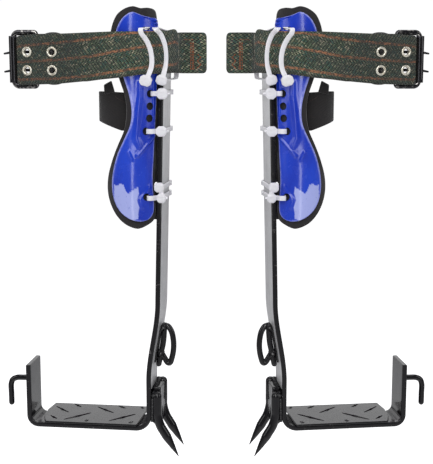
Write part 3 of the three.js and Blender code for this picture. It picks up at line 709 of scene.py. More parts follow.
def tread_plate():
    form = Form()
    outline = slab_outline([(-45.5, -21), (50, -21), (53.4, 38.5), (-50.5, 38.5), (-53, 16), (-52.2, 10),
                            (-50.8, -6)], 1.4)
    slab(form, outline, -2.2, 0, 0.45, lambda a, b, h: (a, b, h))
    for (x0, y0), (x1, y1) in RIBS:
        a, b = np.array([x0, y0], float), np.array([x1, y1], float)
        d = (b - a) / np.linalg.norm(b - a)
        w = np.array([-d[1], d[0]])
        half = np.linalg.norm(b - a) / 2
        rows = []
        for s in np.linspace(-1, 1, 17):
            knob = 0.5 * math.exp(-(s / 0.16) ** 2)
            width = (1.15 + knob) * max(1 - s ** 2, 0.0) ** 0.4 + 0.02
            lift = (1.1 + knob) * max(1 - s ** 4, 0) ** 0.5
            row = [np.append((a + b) / 2 + d * half * s + w * width * math.cos(q), lift * math.sin(q) - 0.3)
                   for q in np.linspace(0, 2 * math.pi, 14, endpoint=False)]
            rows.append(row)
        p = np.array(rows)
        p[..., 2] = np.maximum(p[..., 2], -0.9)
        n, m = p.shape[:2]
        base = form.grid(p, None, False, True, 0, False, worn=0.9)
        form.face([base + j for j in range(m)][::-1])
        form.face([base + (n - 1) * m + j for j in range(m)])
    emit("plate", form, [ENAMEL], "spur", ["tread_plate"])


def weld_bead(form, points, r, seed, mat=0, n=46):
    path = smooth(points, n)
    s = lengths(path)
    scale = 1 + 0.14 * np.sin(s * 2 * math.pi / 2.1) + 0.12 * np.array(
        [noise.noise(Vector((q * 0.5, seed * 3.3, 0))) for q in s])
    scale[0] = scale[-1] = 0.45
    form.sweep(path, circle(r, 14), Y_AXIS if abs(path[0][2] - path[-1][2]) > 3 else Z_AXIS, False, scale, mat)


def spikes():
    r, bar = 4.7, INNER_HALF + BAR_T
    x0 = bar + 1.4 + r
    tip, bend = np.array([93.5, -33.5]), np.array([x0, 4.0])
    reach = np.linalg.norm(tip - bend)
    unit = (tip - bend) / reach
    point = lambda L: [(0, 1), (L - 24, 1), (L - 12, 0.58), (L - 3, 0.2), (L, 0.07)]
    for label, y, top in (("front_spike", -17, 30), ("rear_spike", 17, 36)):
        form = Form()
        low = [bend + unit * s for s in (6, reach * 0.35, reach * 0.7, reach - 0.3)]
        pts = [(x0, y, top), (x0, y, top / 2), (x0, y, 10)] + [(p[0], y, p[1]) for p in low]
        form.rod(pts, r, 90, Y_AXIS, 26, taper=point)
        # the weld bead outside the rod, and the pool over its top
        side = math.copysign(1, y)
        weld_bead(form, [(bar + 1.2, y + side * 2.0, 3), (bar + 1.5, y + side * 2.6, top / 2),
                         (bar + 1.7, y + side * 1.6, top - 1)], 1.6, y + side)
        form.blob((bar + 3.2, y, top + 1.2), (3.6, 4.4, 3.0), seed=y, amp=0.16)
        form.blob((bar + 1.8, y - side * 2.2, top + 2.6), (2.2, 3.0, 2.4), seed=y + 3, amp=0.2)
        emit(label, form, [ENAMEL], "spur", [label])
    form = Form()

    def lumpy(q):
        shift = np.array([[noise.noise(Vector((c[1] * 0.12, c[2] * 0.10, 4.2))) for c in row] for row in q])
        q = q.copy()
        q[..., 0] += np.where(q[..., 0] > 0, shift * 1.3, 0)
        return q

    form.box((bar + 0.3 + 4.2, 0, 18), (8.4, 23.6, 40), 2.0, shape=lumpy)
    for side in (-1, 1):
        weld_bead(form, [(bar + 8.0, side * 11.2, 3), (bar + 8.3, side * 11.3, 18), (bar + 7.8, side * 11.1, 34)],
                  1.3, side * 5)
    weld_bead(form, [(bar + 3.2, -10.5, 38), (bar + 3.8, 0, 38.6), (bar + 3.2, 10.5, 38)], 1.9, 9)
    emit("gusset", form, [ENAMEL], "spur", ["spike_gusset"])


def ring_and_hook():
    form, y, r = Form(), -2.0, 2.95
    arc = [(76.8, 100), (80.2, 100.4), (84, 95.5), (86.1, 87), (86.4, 77), (84.8, 67.5), (82.4, 61.4),
           (80.2, 61.6), (77.2, 66.2), (73.6, 72.3)]
    leg = [(76.9, 101), (76.6, 92), (75.6, 82), (73.4, 72), (70.9, 60)]
    form.rod([(x, y, z) for x, z in arc], r, 90, Y_AXIS, 20)
    form.rod([(x, y, z) for x, z in leg], r, 40, Y_AXIS, 20)
    form.blob((77.4, y, 100.2), (4.0, 5.6, 3.6), seed=1, amp=0.2)
    form.blob((75.6, y - 1.5, 97.4), (2.4, 3.6, 3.0), seed=2, amp=0.25)
    form.blob((73.4, y, 71.4), (3.8, 6.2, 4.6), seed=3, amp=0.2)
    form.blob((74.4, y + 1.0, 68.8), (2.6, 4.4, 3.0), seed=4, amp=0.25)
    for side in (-1, 1):
        pts = [(shank_out(z) + 0.7, y + side * 3.0, z) for z in (62, 74, 86, 98)]
        weld_bead(form, pts, 1.15, 20 + side, n=60)
    emit("ring", form, [ENAMEL], "spur", ["strap_ring"])
    form = Form()
    x = -INNER_HALF - BAR_T - 0.3
    form.rod([(x, 0, 39.4), (x - 8, 0, 39.4), (x - 15, 0, 39), (x - 19.6, 0, 36.8), (x - 21.6, 0, 32),
              (x - 21.7, 0, 22), (x - 21.7, 0, 11.8)], r, 80, Y_AXIS, 20)
    ring = [(x - 0.4, 3.1 * math.cos(a), 39.4 + 3.1 * math.sin(a)) for a in np.linspace(0, 2 * math.pi, 40)[:-1]]
    wave = 1 + 0.13 * np.sin(np.arange(39) * 2 * math.pi / 5)
    form.sweep(np.array(ring), circle(1.3, 12), X_AXIS, True, wave)
    emit("hook", form, [ENAMEL], "spur", ["boot_strap_hook"])


# ---- shin guard -------------------------------------------------------------------------------
HOLES = [(68.9, 337), (68.5, 325), (68, 313.3), (64.9, 300.9), (64.9, 236.6)]
SLOTS = [349.6, 399.2]
SLOT_X = 66
SHELL_R = 31.0
SHELL_EDGE = [(37.8, 397), (44, 408.3), (53.6, 414.4), (63, 411.4), (70, 409.6), (75.3, 407.4), (75.6, 380),
              (73.9, 331), (71.9, 282), (70.6, 252), (71.2, 222), (68.5, 215.6), (60.6, 212.6), (50, 214.8),
              (39.5, 222.2), (32.8, 233.5), (30.5, 249.7), (35.6, 274.4), (44.2, 293), (50.6, 307), (52.2, 320),
              (50.4, 334), (45.2, 351), (38.6, 370), (36.4, 385)]
FOAM_EDGE = [(31, 396), (37, 411), (45.4, 417.6), (54.1, 420), (62, 418.2), (68, 418.8), (73, 416), (73.9, 405),
             (73.8, 392), (73.6, 340), (72.4, 290), (71.8, 240), (72, 222), (71.2, 213.6), (66.5, 208.6), (56.5, 205),
             (44.5, 209), (36, 216), (28.8, 226.5), (24.6, 240), (24.6, 252), (29.4, 270), (37.4, 288.5), (43.9, 303),
             (46.4, 320), (45, 334), (39.2, 351), (33, 368), (30.4, 382)]
# raised mouldings on the shell: (x, z) lines, height and width
RIDGES = [([(60.6, 348), (60.4, 334.1), (58.6, 319.8), (57.4, 306.3), (56.4, 294.7), (59.7, 285.9)], 1.5, 2.6),
          ([(71.7, 296), (66.5, 288.6), (61, 281.6), (57, 277)], 1.7, 1.5),
          ([(48.4, 281), (50, 277.5), (51.6, 273.5)], 1.2, 1.2),
          ([(67.2, 245.3), (62.8, 238.8), (59.6, 234), (60.9, 227)], 1.1, 2.0),
          ([(71.6, 350), (71.4, 330), (71, 312)], 0.7, 1.6)]
PATCH = [(33.6, 249), (37, 247.6), (40, 250), (43.1, 249.4), (46, 242.1), (47.9, 240.6), (57.5, 246.9), (58.3, 241), (56.4, 234.2),
         (58.2, 226.2), (57.1, 215.3), (49.5, 213.5), (39.6, 222.2), (33.3, 233.6)]


def to_arc(points, radius):
    """Front-view (x, z) to arc length about the guard's axis and z."""
    return [(math.asin(min(max((x - SHELL_AXIS[0]) / radius, -0.985), 0.985)) * SHELL_R, z) for x, z in points]


def edge_lines(outline, radius, rows):
    """A closed outline as its left and right edges from lowest to highest point."""
    loop = smooth([(*p, 0) for p in to_arc(outline, radius)], 720, True)[:, :2]
    low, high = int(loop[:, 1].argmin()), int(loop[:, 1].argmax())
    run = lambda a, b: np.array([loop[(a + k) % 720] for k in range((b - a) % 720 + 1)])
    up, down = run(low, high), run(high, low)[::-1]
    first, second = spaced(up, rows), spaced(down, rows)
    return (first, second) if first[rows // 2][0] < second[rows // 2][0] else (second, first)


def inside(px, pz, polygon):
    hit = False
    for (x0, z0), (x1, z1) in zip(polygon, polygon[1:] + polygon[:1]):
        if (z0 > pz) != (z1 > pz) and px < x0 + (pz - z0) / (z1 - z0) * (x1 - x0):
            hit = not hit
    return hit


def near_line(s, z, line):
    best = 1e9
    for (a0, b0), (a1, b1) in zip(line, line[1:]):
        d = np.array([a1 - a0, b1 - b0])
        t = min(max(((s - a0) * d[0] + (z - b0) * d[1]) / d.dot(d), 0), 1)
        best = min(best, math.hypot(s - a0 - d[0] * t, z - b0 - d[1] * t))
    return best


def guard_sheet(form, outline, r_out, r_in, across, rows, relief, rim_mat, inner_mat, mask=None, crown=0.0):
    """A curved sheet between two edge lines, with a rounded rim, as one closed form."""
    edge_l, edge_r = edge_lines(outline, r_out, rows)
    cx, cy = SHELL_AXIS
    thick = r_out - r_in
    rim = min(thick / 2, 1.0)
    levels = [(r_out, rim * 0.95)] + [(r_out - thick / 2 * (1 - math.cos(a)), rim * (1 - math.sin(a)) * 0.95)
                                      for a in np.linspace(0.5, math.pi - 0.5, 5)] + [(r_in, rim * 0.95)]

    def at(s, z, radius):
        q = s / SHELL_R
        return (cx + radius * math.sin(q), cy - radius * math.cos(q), z)

    def sheet(radius, inset, with_relief):
        p, mk, rub_and_edge_highlight = np.zeros((rows, across, 3)), np.zeros((rows, across)), np.zeros((rows, across))
        for i in range(rows):
            a, b = edge_l[i], edge_r[i]
            mid = (a + b) / 2
            for j, t in enumerate(np.linspace(0, 1, across)):
                q = a + (b - a) * t
                span = max(np.linalg.norm(b - a), 1e-3)
                q = q + (mid - q) * min(2 * inset / span, 0.9) if span > 0.01 else q
                r = radius + (relief(q[0], q[1], t, i / (rows - 1)) if with_relief else 0)
                p[i, j] = at(q[0], q[1], r)
                mk[i, j] = mask(cx + SHELL_R * math.sin(q[0] / SHELL_R), q[1]) if mask else 0
                near = min(t, 1 - t) * span
                near = min(near, abs(q[1] - edge_l[0][1]), abs(q[1] - edge_l[-1][1]))
                # Painted highlight: the edge value rises towards the sheet's edges, more strongly on the left, for a
                # pale line along the shell.
                rub_and_edge_highlight[i, j] = max(0.0, 1 - near / 2.2) if t < 0.5 else 0.6 * max(0.0, 1 - near / 1.6)
        return p, mk, rub_and_edge_highlight

    outer, mk, rub_and_edge_highlight = sheet(r_out, levels[0][1], True)
    inner = sheet(r_in, levels[-1][1], crown != 0)[0]
    form.grid(outer, None, False, False, 0, True, worn=rub_and_edge_highlight, mask=mk)
    form.grid(inner, None, False, False, inner_mat, False)

    def border(p):
        return np.vstack([p[:, 0], p[-1, 1:-1], p[::-1, -1], p[0, -2:0:-1]])

    b_out, b_in = border(outer), border(inner)
    flat = sheet(SHELL_R, 0.0, False)[0]
    b_edge = border(flat)
    centre = np.array([cx, cy, 0])
    loops = [b_out]
    for k, (radius, inset) in enumerate(levels[1:-1], 1):
        f = (k - 0.0) / (len(levels) - 1)
        mix = b_out * (1 - f) + b_in * f
        radial = b_edge - centre
        radial[:, 2] = 0
        radial /= np.linalg.norm(radial, axis=1)[:, None]
        wide = centre + radial * radius
        wide[:, 2] = b_edge[:, 2]
        push = math.sin(math.pi * f)
        loops.append(mix * (1 - push) + wide * push)
    loops.append(b_in)
    p = np.array(loops)
    form.grid(p, None, False, True, rim_mat, True, worn=1.0)


TIE_HOLES = [(68.9, 337.2), (64.9, 300.9), (64.9, 235.6)]
CHAINED_Z = 245.8


def guard_slots(form):
    for z in SLOTS:
        form.box((SLOT_X, -22.5, z), (6.2, 54, 2.8), 0.4, mat=2, k=2)
    return form


def foam_cutters():
    form = Form()
    for x, z in TIE_HOLES:
        form.box((x + 0.7, -22.5, z), (2.4, 54, 5.8), 0.3, mat=2, k=2)
    form.box((74, -9, CHAINED_Z), (7, 20, 5.8), 0.3, mat=2, k=2)
    return guard_slots(form)


def shell_cutters(scale=1.0):
    form = Form()
    for x, z in HOLES:
        a = np.linspace(0, 2 * math.pi, 28, endpoint=False)
        w, h = 2.8 * scale, 3.7 * scale
        p = np.array([[(x + w * math.cos(q), y, z + h * math.sin(q)) for q in a] for y in (-44, 8)])
        base = form.grid(p, None, False, True, 2)
        form.face([base + j for j in range(28)][::-1], 2)
        form.face([base + 28 + j for j in range(28)], 2)
    return guard_slots(form)


def shin_guard():
    arcs = [(to_arc(line, SHELL_R), h, w) for line, h, w in RIDGES]

    def relief(s, z, t, v):
        out = 0.0
        for line, h, w in arcs:
            d = near_line(s, z, line)
            out = max(out, h * math.exp(-(d / w) ** 2))
        ripple = 0.25 * noise.noise(Vector((s * 0.11, z * 0.045, 3.1)))
        notch = 0.0
        for k in (410.9, 407.2, 403.5):
            if t > 0.86:
                notch = max(notch, 1.5 * math.exp(-((z - k + 2) / 1.0) ** 2))
        return out + ripple - notch

    form = Form()
    guard_sheet(form, SHELL_EDGE, SHELL_R, SHELL_R - 2.4, 62, 200, relief, 1, 0,
                mask=lambda x, z: 1.0 if inside(x, z, PATCH) else 0.0)
    emit("shell", form, [BLUE, RIM_PAINTED_HIGHLIGHT, HOLE_WALL_PAINTED_SHADE], "spur", ["shin_shell"], shell_cutters(), angle=50)

    def soft(s, z, t, v):
        return 0.35 * noise.noise(Vector((s * 0.16, z * 0.06, 8.4))) - 0.1

    form = Form()
    guard_sheet(form, FOAM_EDGE, SHELL_R - 2.75, SHELL_R - 9.6, 44, 150, soft, 0, 0, crown=1)
    emit("foam", form, [FOAM, FOAM, FOAM], "spur", ["shin_foam"], foam_cutters(), angle=60)
    # the foam bulges out between the shell and the shank
    form = Form()
    for low, high in ((211.5, CHAINED_Z - 3.2), (CHAINED_Z + 3.2, 394)):
        path = [(shank_x(z) - 6.4, -7.4, z) for z in np.linspace(low, high, 40)]
        scale = 1 + 0.04 * np.array([noise.noise(Vector((0, z * 0.09, 2.2))) for _, _, z in path])
        scale[0] = scale[-1] = 0.7
        form.sweep(np.array(path), rounded_rect(4.8, 3.6, 1.3, 4), Y_AXIS, False, scale)
    emit("foam_lip", form, [FOAM], "spur", [], angle=60)


def elastic():
    line = smooth([(55, -12, 0), (46, -17, 0), (36, -19, 0), (25, -16.5, 0), (17, -10.5, 0), (14.6, -5, 0),
                   (18, 1.5, 0), (30, 6.5, 0), (44, 9.2, 0), (55, 8.6, 0), (60.5, 3.5, 0), (60, -4, 0)], 150, True)
    form = Form()
    low = lambda x: np.interp(x, [14, 39, 70], [309.6, 300.6, 300.6])
    high = lambda x: np.interp(x, [14, 45, 70], [338.4, 336.2, 336.2])
    strap(form, line, 1.7, low, high, rows=76, closed=True, rib=(1.25, 0.11))
    emit("elastic", form, [ELASTIC], "spur", ["elastic_strap"], angle=60)
    form = Form()
    outline = slab_outline([(22.2, 335.4), (33.4, 338.2), (29.9, 349.4), (21.7, 345.2)], 1.2)
    lay = lambda a, b, h: (a, h - 0.3 * (a - 27.5), b)
    slab(form, outline, -20.6, -18.8, 0.6, lay)
    slab(form, outline * 0.92 + outline.mean(0) * 0.08, -21.1, -20.5, 0.28, lay)
    emit("tab", form, [ELASTIC], "spur", ["elastic_tab"], angle=60)
    # the sewn seam of the elastic
    form = Form()
    a, b = np.array([33, 333.8]), np.array([47.5, 325.3])
    for k in range(9):
        p = a + (b - a) * (k / 9)
        q = a + (b - a) * ((k + 0.6) / 9)
        y0 = np.interp([p[0], q[0]], [25, 36, 46, 55], [-16.5, -19, -17, -12]) - 1.0
        form.rod([(p[0], y0[0], p[1]), ((p[0] + q[0]) / 2, y0.mean() - 0.25, (p[1] + q[1]) / 2),
                  (q[0], y0[1], q[1])], 0.28, 6, Z_AXIS, 8)
    emit("elastic_seam", form, [THREAD_DARK], "spur", [])


# ---- belts ------------------------------------------------------------------------------------
def strap(form, line, thickness, low, high, rows=40, closed=False, rib=None, wave=0.0, mat=0, fraction=48.0,
          ends=(0.0, 0.0), cap_mat=None, drift=None):
    """A strip of webbing standing on edge along a plan line, with rounded selvedges."""
    n = len(line)
    flat = line[:, :2]
    t = (np.roll(flat, -1, 0) - np.roll(flat, 1, 0)) if closed else np.gradient(flat, axis=0)
    t /= np.linalg.norm(t, axis=1)[:, None]
    nrm = np.stack([-t[:, 1], t[:, 0]], 1)
    s = lengths(flat)
    total = s[-1]
    lo, hi = np.array([low(x) for x in flat[:, 0]]), np.array([high(x) for x in flat[:, 0]])
    for side, r in enumerate(ends):
        if r > 0:
            d = s if side == 0 else total - s
            cut = np.where(d < r, r - np.sqrt(np.maximum(r * r - (r - d) ** 2, 0)), 0)
            lo, hi = lo + cut, hi - cut
    half = thickness / 2
    loop = []
    frac = np.linspace(0, 1, rows)
    for f in frac:
        e = min(f, 1 - f) * (rows - 1)
        loop.append((half * (0.62 if e < 0.5 else 0.93 if e < 1.5 else 1.0), f))
    section = [(a, f) for a, f in loop] + [(-a, f) for a, f in reversed(loop)]
    m = len(section)
    p, uv = np.zeros((n, m, 3)), np.zeros((n + 1, m + 1, 2))
    for i in range(n):
        for j, (a, f) in enumerate(section):
            z = lo[i] + f * (hi[i] - lo[i])
            off = a
            if rib:
                off += math.copysign(rib[1], a) * math.sin(2 * math.pi * z / rib[0])
            if wave:
                off += wave * noise.noise(Vector((s[i] * 0.055, z * 0.035, 1.7)))
            p[i, j] = (*(flat[i] + nrm[i] * off), z)
            uv[i, j] = (s[i], (drift(flat[i][0], f) if drift else f) * fraction)
        uv[i, m] = uv[i, 0]
    uv[n] = uv[n - 1] + np.array([total / max(n - 1, 1), 0]) if closed else uv[n - 1]
    base = form.grid(p, uv, closed, True, mat, False)
    if not closed:
        for end, order in ((0, 1), (n - 1, -1)):
            for j in range(rows - 1):
                ids = [base + end * m + j, base + end * m + j + 1,
                       base + end * m + m - 2 - j, base + end * m + m - 1 - j]
                form.face(ids if order > 0 else ids[::-1], mat if cap_mat is None else cap_mat)


def belt_top(x):
    return float(np.interp(x, [-58, -39, -15, 34, 60, 84, 90], [392.2, 394, 394.2, 396.1, 396.3, 396.9, 398.6]))


def belt_low(x):
    return float(np.interp(x, [-58, -39, -18, 8, 42, 60, 95], [344.9, 345.9, 346.6, 349.1, 352.7, 355.4, 357]))


BELT_POINTS = [(-58.2, -39), (-53, -38.7), (-48, -39), (-36, -41.2), (-22.8, -42), (5, -42), (30, -41.2),
               (46, -39.4), (56, -37), (66, -31.4), (76, -25.6), (83.5, -21.2), (89, -15), (93.4, -9.2)]
BELT_LINE = smooth([(x, y, 0) for x, y in BELT_POINTS], 230)


def belt_front(x):
    return float(np.interp(x, BELT_LINE[:, 0], BELT_LINE[:, 1])) - 1.25


GROMMETS = [(-48, -39.1, 8.7, -0.13), (-48, -39.1, -8.7, -0.13), (-22.8, -42.1, 8.7, 0), (-22.8, -42.1, -8.7, 0)]


def stripe_drift(x, f):
    """The woven stripes climb towards the shank, as the webbing's edges do not follow its yarns."""
    here = [np.interp(x, [-36, 14, 54, 90], lane) for lane in
            ((0.11, 0.10, 0.15, 0.19), (0.47, 0.50, 0.615, 0.71), (0.79, 0.86, 0.96, 1.05))]
    there = [0.11, 0.47, 0.79]
    if f <= here[0]:
        return there[0] - (here[0] - f)
    if f >= here[2]:
        return there[2] + (f - here[2])
    return float(np.interp(f, here, there))


def front_belt():
    form = Form()
    strap(form, BELT_LINE, 2.5, belt_low, belt_top, rows=44, wave=0.45, ends=(2.5, 5.0), cap_mat=1,
          drift=stripe_drift)
    cutter = Form()
    for x, y, dz, turn in GROMMETS:
        c, s = math.cos(turn), math.sin(turn)
        a = np.linspace(0, 2 * math.pi, 24, endpoint=False)
        rows = []
        for depth in (-9, 9):
            rows.append([(x + 4.1 * math.cos(q) * c - depth * s, y + 4.1 * math.cos(q) * s + depth * c,
                          BELT_MID + dz + 4.1 * math.sin(q)) for q in a])
        base = cutter.grid(np.array(rows), None, False, True, 1)
        cutter.face([base + j for j in range(24)][::-1], 1)
        cutter.face([base + 24 + j for j in range(24)], 1)
    emit("front_belt", form, [WEBBING, FRAY], "spur", ["outer_belt"], cutter, angle=60)
    # loose ends of yarn along the cut edge
    rng = random.Random(11)
    form = Form()
    end = BELT_LINE[-1]
    for k in range(64):
        z = belt_low(92) + 4.5 + (belt_top(92) - belt_low(92) - 9) * (k + rng.random() * 0.8) / 64
        x, y = end[0] - 0.4, end[1] - 0.2 + rng.uniform(-0.9, 0.9)
        d = Vector((0.72 + rng.uniform(-0.3, 0.3), 0.72 + rng.uniform(-0.5, 0.3), rng.uniform(-0.7, 0.7))).normalized()
        size = rng.uniform(1.0, 2.3)
        a = np.array([x, y, z])
        b = a + np.array(d) * size * 0.5 + np.array([0, 0, rng.uniform(-0.2, 0.2)])
        form.rod([a, b, a + np.array(d) * size], 0.2, 5, (0.3, -0.4, 0.86), 6)
    emit("front_belt_fray", form, [FRAY], "spur", [])
    form = Form()
    for k, (x, y, dz, turn) in enumerate(GROMMETS):
        face = 1.25 + 0.35
        prof = [(2.95, -face - 0.2), (3.2, -face - 0.75), (4.4, -face - 0.7), (4.7, -face - 0.1), (3.7, -face),
                (3.62, face), (4.85, face), (5.0, face + 0.3), (4.65, face + 0.8), (4.05, face + 1.0),
                (3.4, face + 0.85), (3.0, face + 0.4)]
        form = Form()
        form.lathe(prof, (x, y, BELT_MID + dz), "y", turn, 56,
                   wobble=lambda a, k=k: 1 + 0.006 * np.sin(3 * a + k) + 0.004 * np.sin(7 * a + 2 * k))
        emit(f"eyelet_{k + 1}", form, [BRASS], "spur", [f"belt_grommet_{k + 1}"])


BX, BY = -40.5, -33.5


def back_belt():
    wrap = 2.1 + 0.5 + 1.0
    pts = [(BX + 12, BY - 2.2), (BX + 5, BY - wrap + 0.1)]
    pts += [(BX - wrap * math.sin(a), BY - wrap * math.cos(a)) for a in np.linspace(0, math.pi, 9)]
    pts += [(BX + 8, BY + 4.2), (BX + 20, BY + 7.5), (BX + 34, BY + 11.3), (BX + 48, BY + 15.1), (22, -5), (42, 13),
            (60, 23), (76, 26), (86, 22.5), (91.5, 12), (95, 2.4), (100, -1.6), (107, -2.2), (121, -1)]
    line = smooth([(x, y, 0) for x, y in pts], 330)
    low = lambda x: float(np.interp(x, [-38, -35, 5, 60, 121], [347.5, 348.4, 348.4, 356, 356.2]))
    high = lambda x: float(np.interp(x, [-38, -35, 5, 60, 121], [389, 392.6, 392.6, 396, 395.6]))
    form = Form()
    strap(form, line, 2.0, low, high, rows=40, wave=0.3, ends=(1.5, 4.0))
    cutter = Form()
    cutter.box((BX + 0.75, BY, BELT_MID), (17.5, 13.6, 27), 1.5)
    emit("back_belt", form, [WEBBING_BACK], "spur", ["inner_belt"], cutter, angle=60)
    # orange sewing on the stub
    form = Form()
    rng = random.Random(5)

    def stitch(x0, z0, x1, z1, r=0.42):
        y = [float(np.interp(x, [95, 100, 107, 121], [2.4, -1.6, -2.2, -1])) - 1.05 for x in (x0, x1)]
        form.rod([(x0, y[0] + 0.35, z0), ((x0 * 2 + x1) / 3, y[0] - 0.32, (z0 * 2 + z1) / 3),
                  ((x0 + 2 * x1) / 3, y[1] - 0.32, (z0 + 2 * z1) / 3), (x1, y[1] + 0.35, z1)], r, 9, (0.2, 1, 0.1), 8)

    z = 359.5
    while z < 386:
        for dx in (-1.5, 0.0, 1.4):
            stitch(107 + dx + rng.uniform(-0.25, 0.25), z, 107 + dx + rng.uniform(-0.35, 0.35), z + 2.3)
        z += 2.7
    steps = [(111.6, 361), (115.6, 364.6), (111.8, 368.2), (115.8, 371.6), (112, 375)]
    for (x0, z0), (x1, z1) in zip(steps, steps[1:]):
        for k in range(2):
            f0, f1 = k / 2, k / 2 + 0.42
            stitch(x0 + (x1 - x0) * f0, z0 + (z1 - z0) * f0, x0 + (x1 - x0) * f1, z0 + (z1 - z0) * f1, 0.5)
    for k in range(4):
        stitch(97.5 + k * 2.9, 388.6, 99.6 + k * 2.9, 388.8, 0.4)
    emit("stub_sewing", form, [STITCH], "spur", [])


# ---- buckle -------------------------------------------------------------------------------------
EX, EY = -63.0, -36.0
FRAME_UP = 1.6
REACH = math.hypot(EX - BX, EY - BY)
TURN = math.atan2(EY - BY, EX - BX)


def on_buckle(p):
    """(along from the hinge bar, across, height) to x, y, z."""
    c, s = math.cos(TURN), math.sin(TURN)
    return (BX + p[0] * c - p[1] * s, BY + p[0] * s + p[1] * c, BELT_MID + p[2])


def buckle():
    form = Form()
    high = 25.5
    corners = [(0, -high), (REACH, -high), (REACH, high), (0, high)]
    radii = [2.4, 5.2, 5.2, 2.4]
    pts = []
    for k, ((x, z), r) in enumerate(zip(corners, radii)):
        prev, nxt = np.array(corners[k - 1]), np.array(corners[(k + 1) % 4])
        here = np.array([x, z])
        u, w = prev - here, nxt - here
        u, w = u / np.linalg.norm(u), w / np.linalg.norm(w)
        c = here + (u + w) * r
        a0, a1 = math.atan2(*(-(w))[::-1]), math.atan2(*(-(u))[::-1])
        d = (a1 - a0 + math.pi) % (2 * math.pi) - math.pi
        for t in np.linspace(0, 1, 9):
            a = a0 + d * t
            pts.append((c[0] + r * math.cos(a), c[1] + r * math.sin(a)))
        gap = nxt - here
        far = radii[(k + 1) % 4]
        for t in np.linspace(0, 1, 14)[1:-1]:
            pts.append(tuple(here + w * r + (gap - w * (r + far)) * t))
    path = np.array([(x, 0, z) for x, z in pts])
    t = np.roll(path, -1, 0) - np.roll(path, 1, 0)
    t /= np.linalg.norm(t, axis=1)[:, None]
    w = np.abs(t[:, 0]) ** 2
    scale = np.stack([2.1 + 0.6 * w, 2.1 - 0.3 * w], 1)
    local = Form()
    local.sweep(path, circle(1.0, 22), Y_AXIS, True, scale, worn=0.8)
    form = local
    form.v = [on_buckle((p[0], p[1], p[2] + FRAME_UP)) for p in form.v]
    emit("buckle", form, [NICKEL], "buckle", ["buckle_frame"], angle=60)

    half = 28.2 - 5.4 - 0.5
    prof = [(2.32, -half), (3.8, -half), (4.0, -half + 0.4), (4.0, half - 0.4), (3.8, half), (2.32, half)]
    dense = []
    for k, (a, b) in enumerate(zip(prof, prof[1:] + prof[:1])):
        steps = 12 if abs(a[1] - b[1]) > 20 else 1
        for t in np.linspace(0, 1, steps, endpoint=False):
            dense.append((a[0] + (b[0] - a[0]) * t, a[1] + (b[1] - a[1]) * t))
    form = Form()
    seam = lambda a: 1 - 0.05 * np.exp(-((a - math.pi / 2) / 0.09) ** 2)
    form.lathe(dense, (0, 0, 0), "z", 0, 60, wobble=seam)
    form.v = [on_buckle((p[0] + REACH, p[1], p[2] + FRAME_UP)) for p in form.v]
    emit("roller", form, [NICKEL], "roller", ["buckle_roller"], angle=50)

    form = Form()
    form.lathe([(2.35, -12), (3.2, -12), (3.5, -11.6), (3.5, 11.6), (3.2, 12), (2.35, 12)], (0, 0, 0), "z", 0, 40)
    clear = -(4.0 + 1.5 + 0.3)
    for z in (8.7, -8.7):
        ring = [(3.55 * math.cos(a), 3.55 * math.sin(a), z) for a in np.linspace(0, 2 * math.pi, 33)[:-1]]
        form.sweep(np.array(ring), circle(1.0, 12), Z_AXIS, True, 0.5 * np.ones(32) + 0.35)
        form.rod([(0.4, -4.1, z), (6, -4.3, z), (REACH * 0.6, clear + 0.2, z), (REACH, clear, z),
                  (REACH + 9.6, clear + 0.6, z - 1.6)], 1.5, 60, Z_AXIS, 16,
                 taper=lambda L: [(0, 1), (L * 0.7, 1), (L, 0.62)])
    form.v = [on_buckle(p) for p in form.v]
    emit("prongs", form, [NICKEL], "prongs", ["buckle_prongs"], angle=60)

    # keeper: a moulded loop whose upper and lower edges are crowned
    form = Form()
    outer = rounded_rect(7.4 - 2.0, 51 - 2.4, 2.0, 6)
    line = spaced(np.vstack([outer, outer[:1]]), 120, True)
    path = np.array([(0, a, b) for a, b in line])
    section = rounded_rect(2.0, 17, 0.8, 3)
    dense = []
    for j in range(len(section)):
        a, b = section[j], section[(j + 1) % len(section)]
        steps = 12 if np.linalg.norm(b - a) > 8 else 1
        dense.extend(a + (b - a) * t for t in np.linspace(0, 1, steps, endpoint=False))
    form.sweep(path, np.array(dense), X_AXIS, True)
    turn = math.atan2(15.1 - 4.2, 40)
    c, s = math.cos(turn), math.sin(turn)
    out = []
    for x, y, z in form.v:
        crown = 1 - 0.075 * abs(x / 8.5) ** 2.4 if abs(z) > 20 else 1
        out.append((BX + 15 + x * c - y * s, BY + 6.1 + x * s + y * c, 370.5 + z * crown))
    form.v = out
    emit("keeper", form, [RUBBER], "keeper", ["belt_keeper"], angle=60)


# ---- zip ties --------------------------------------------------------------------------------------
def tie_loop(form, points, up, n):
    """A closed nylon strap with fine teeth on its inner face."""
    line = smooth(points, n, True)
    centre = line.mean(0)
    section = rounded_rect(1.2, 4.8, 0.35, 3)
    t = np.roll(line, -1, 0) - np.roll(line, 1, 0)
    t /= np.linalg.norm(t, axis=1)[:, None]
    a = np.cross(np.broadcast_to(np.array(up, float), line.shape), t)
    outward = np.sign(np.einsum("ij,ij->i", a, line - centre).mean())
    inner = section[:, 0] * outward < 0
    form.sweep(line, section, up, True)
    # teeth: short bars across the inner face
    a /= np.linalg.norm(a, axis=1)[:, None]
    v = np.array(form.v[-n * len(section):]).reshape(n, len(section), 3)
    lift = 0.16 * (np.arange(n) % 2)[:, None, None] * a[:, None] * (-outward)
    v[:, inner] -= (lift * -1)[:, :1].repeat(inner.sum(), 1) * 1.0
    form.v[-n * len(section):] = list(map(tuple, v.reshape(-1, 3)))


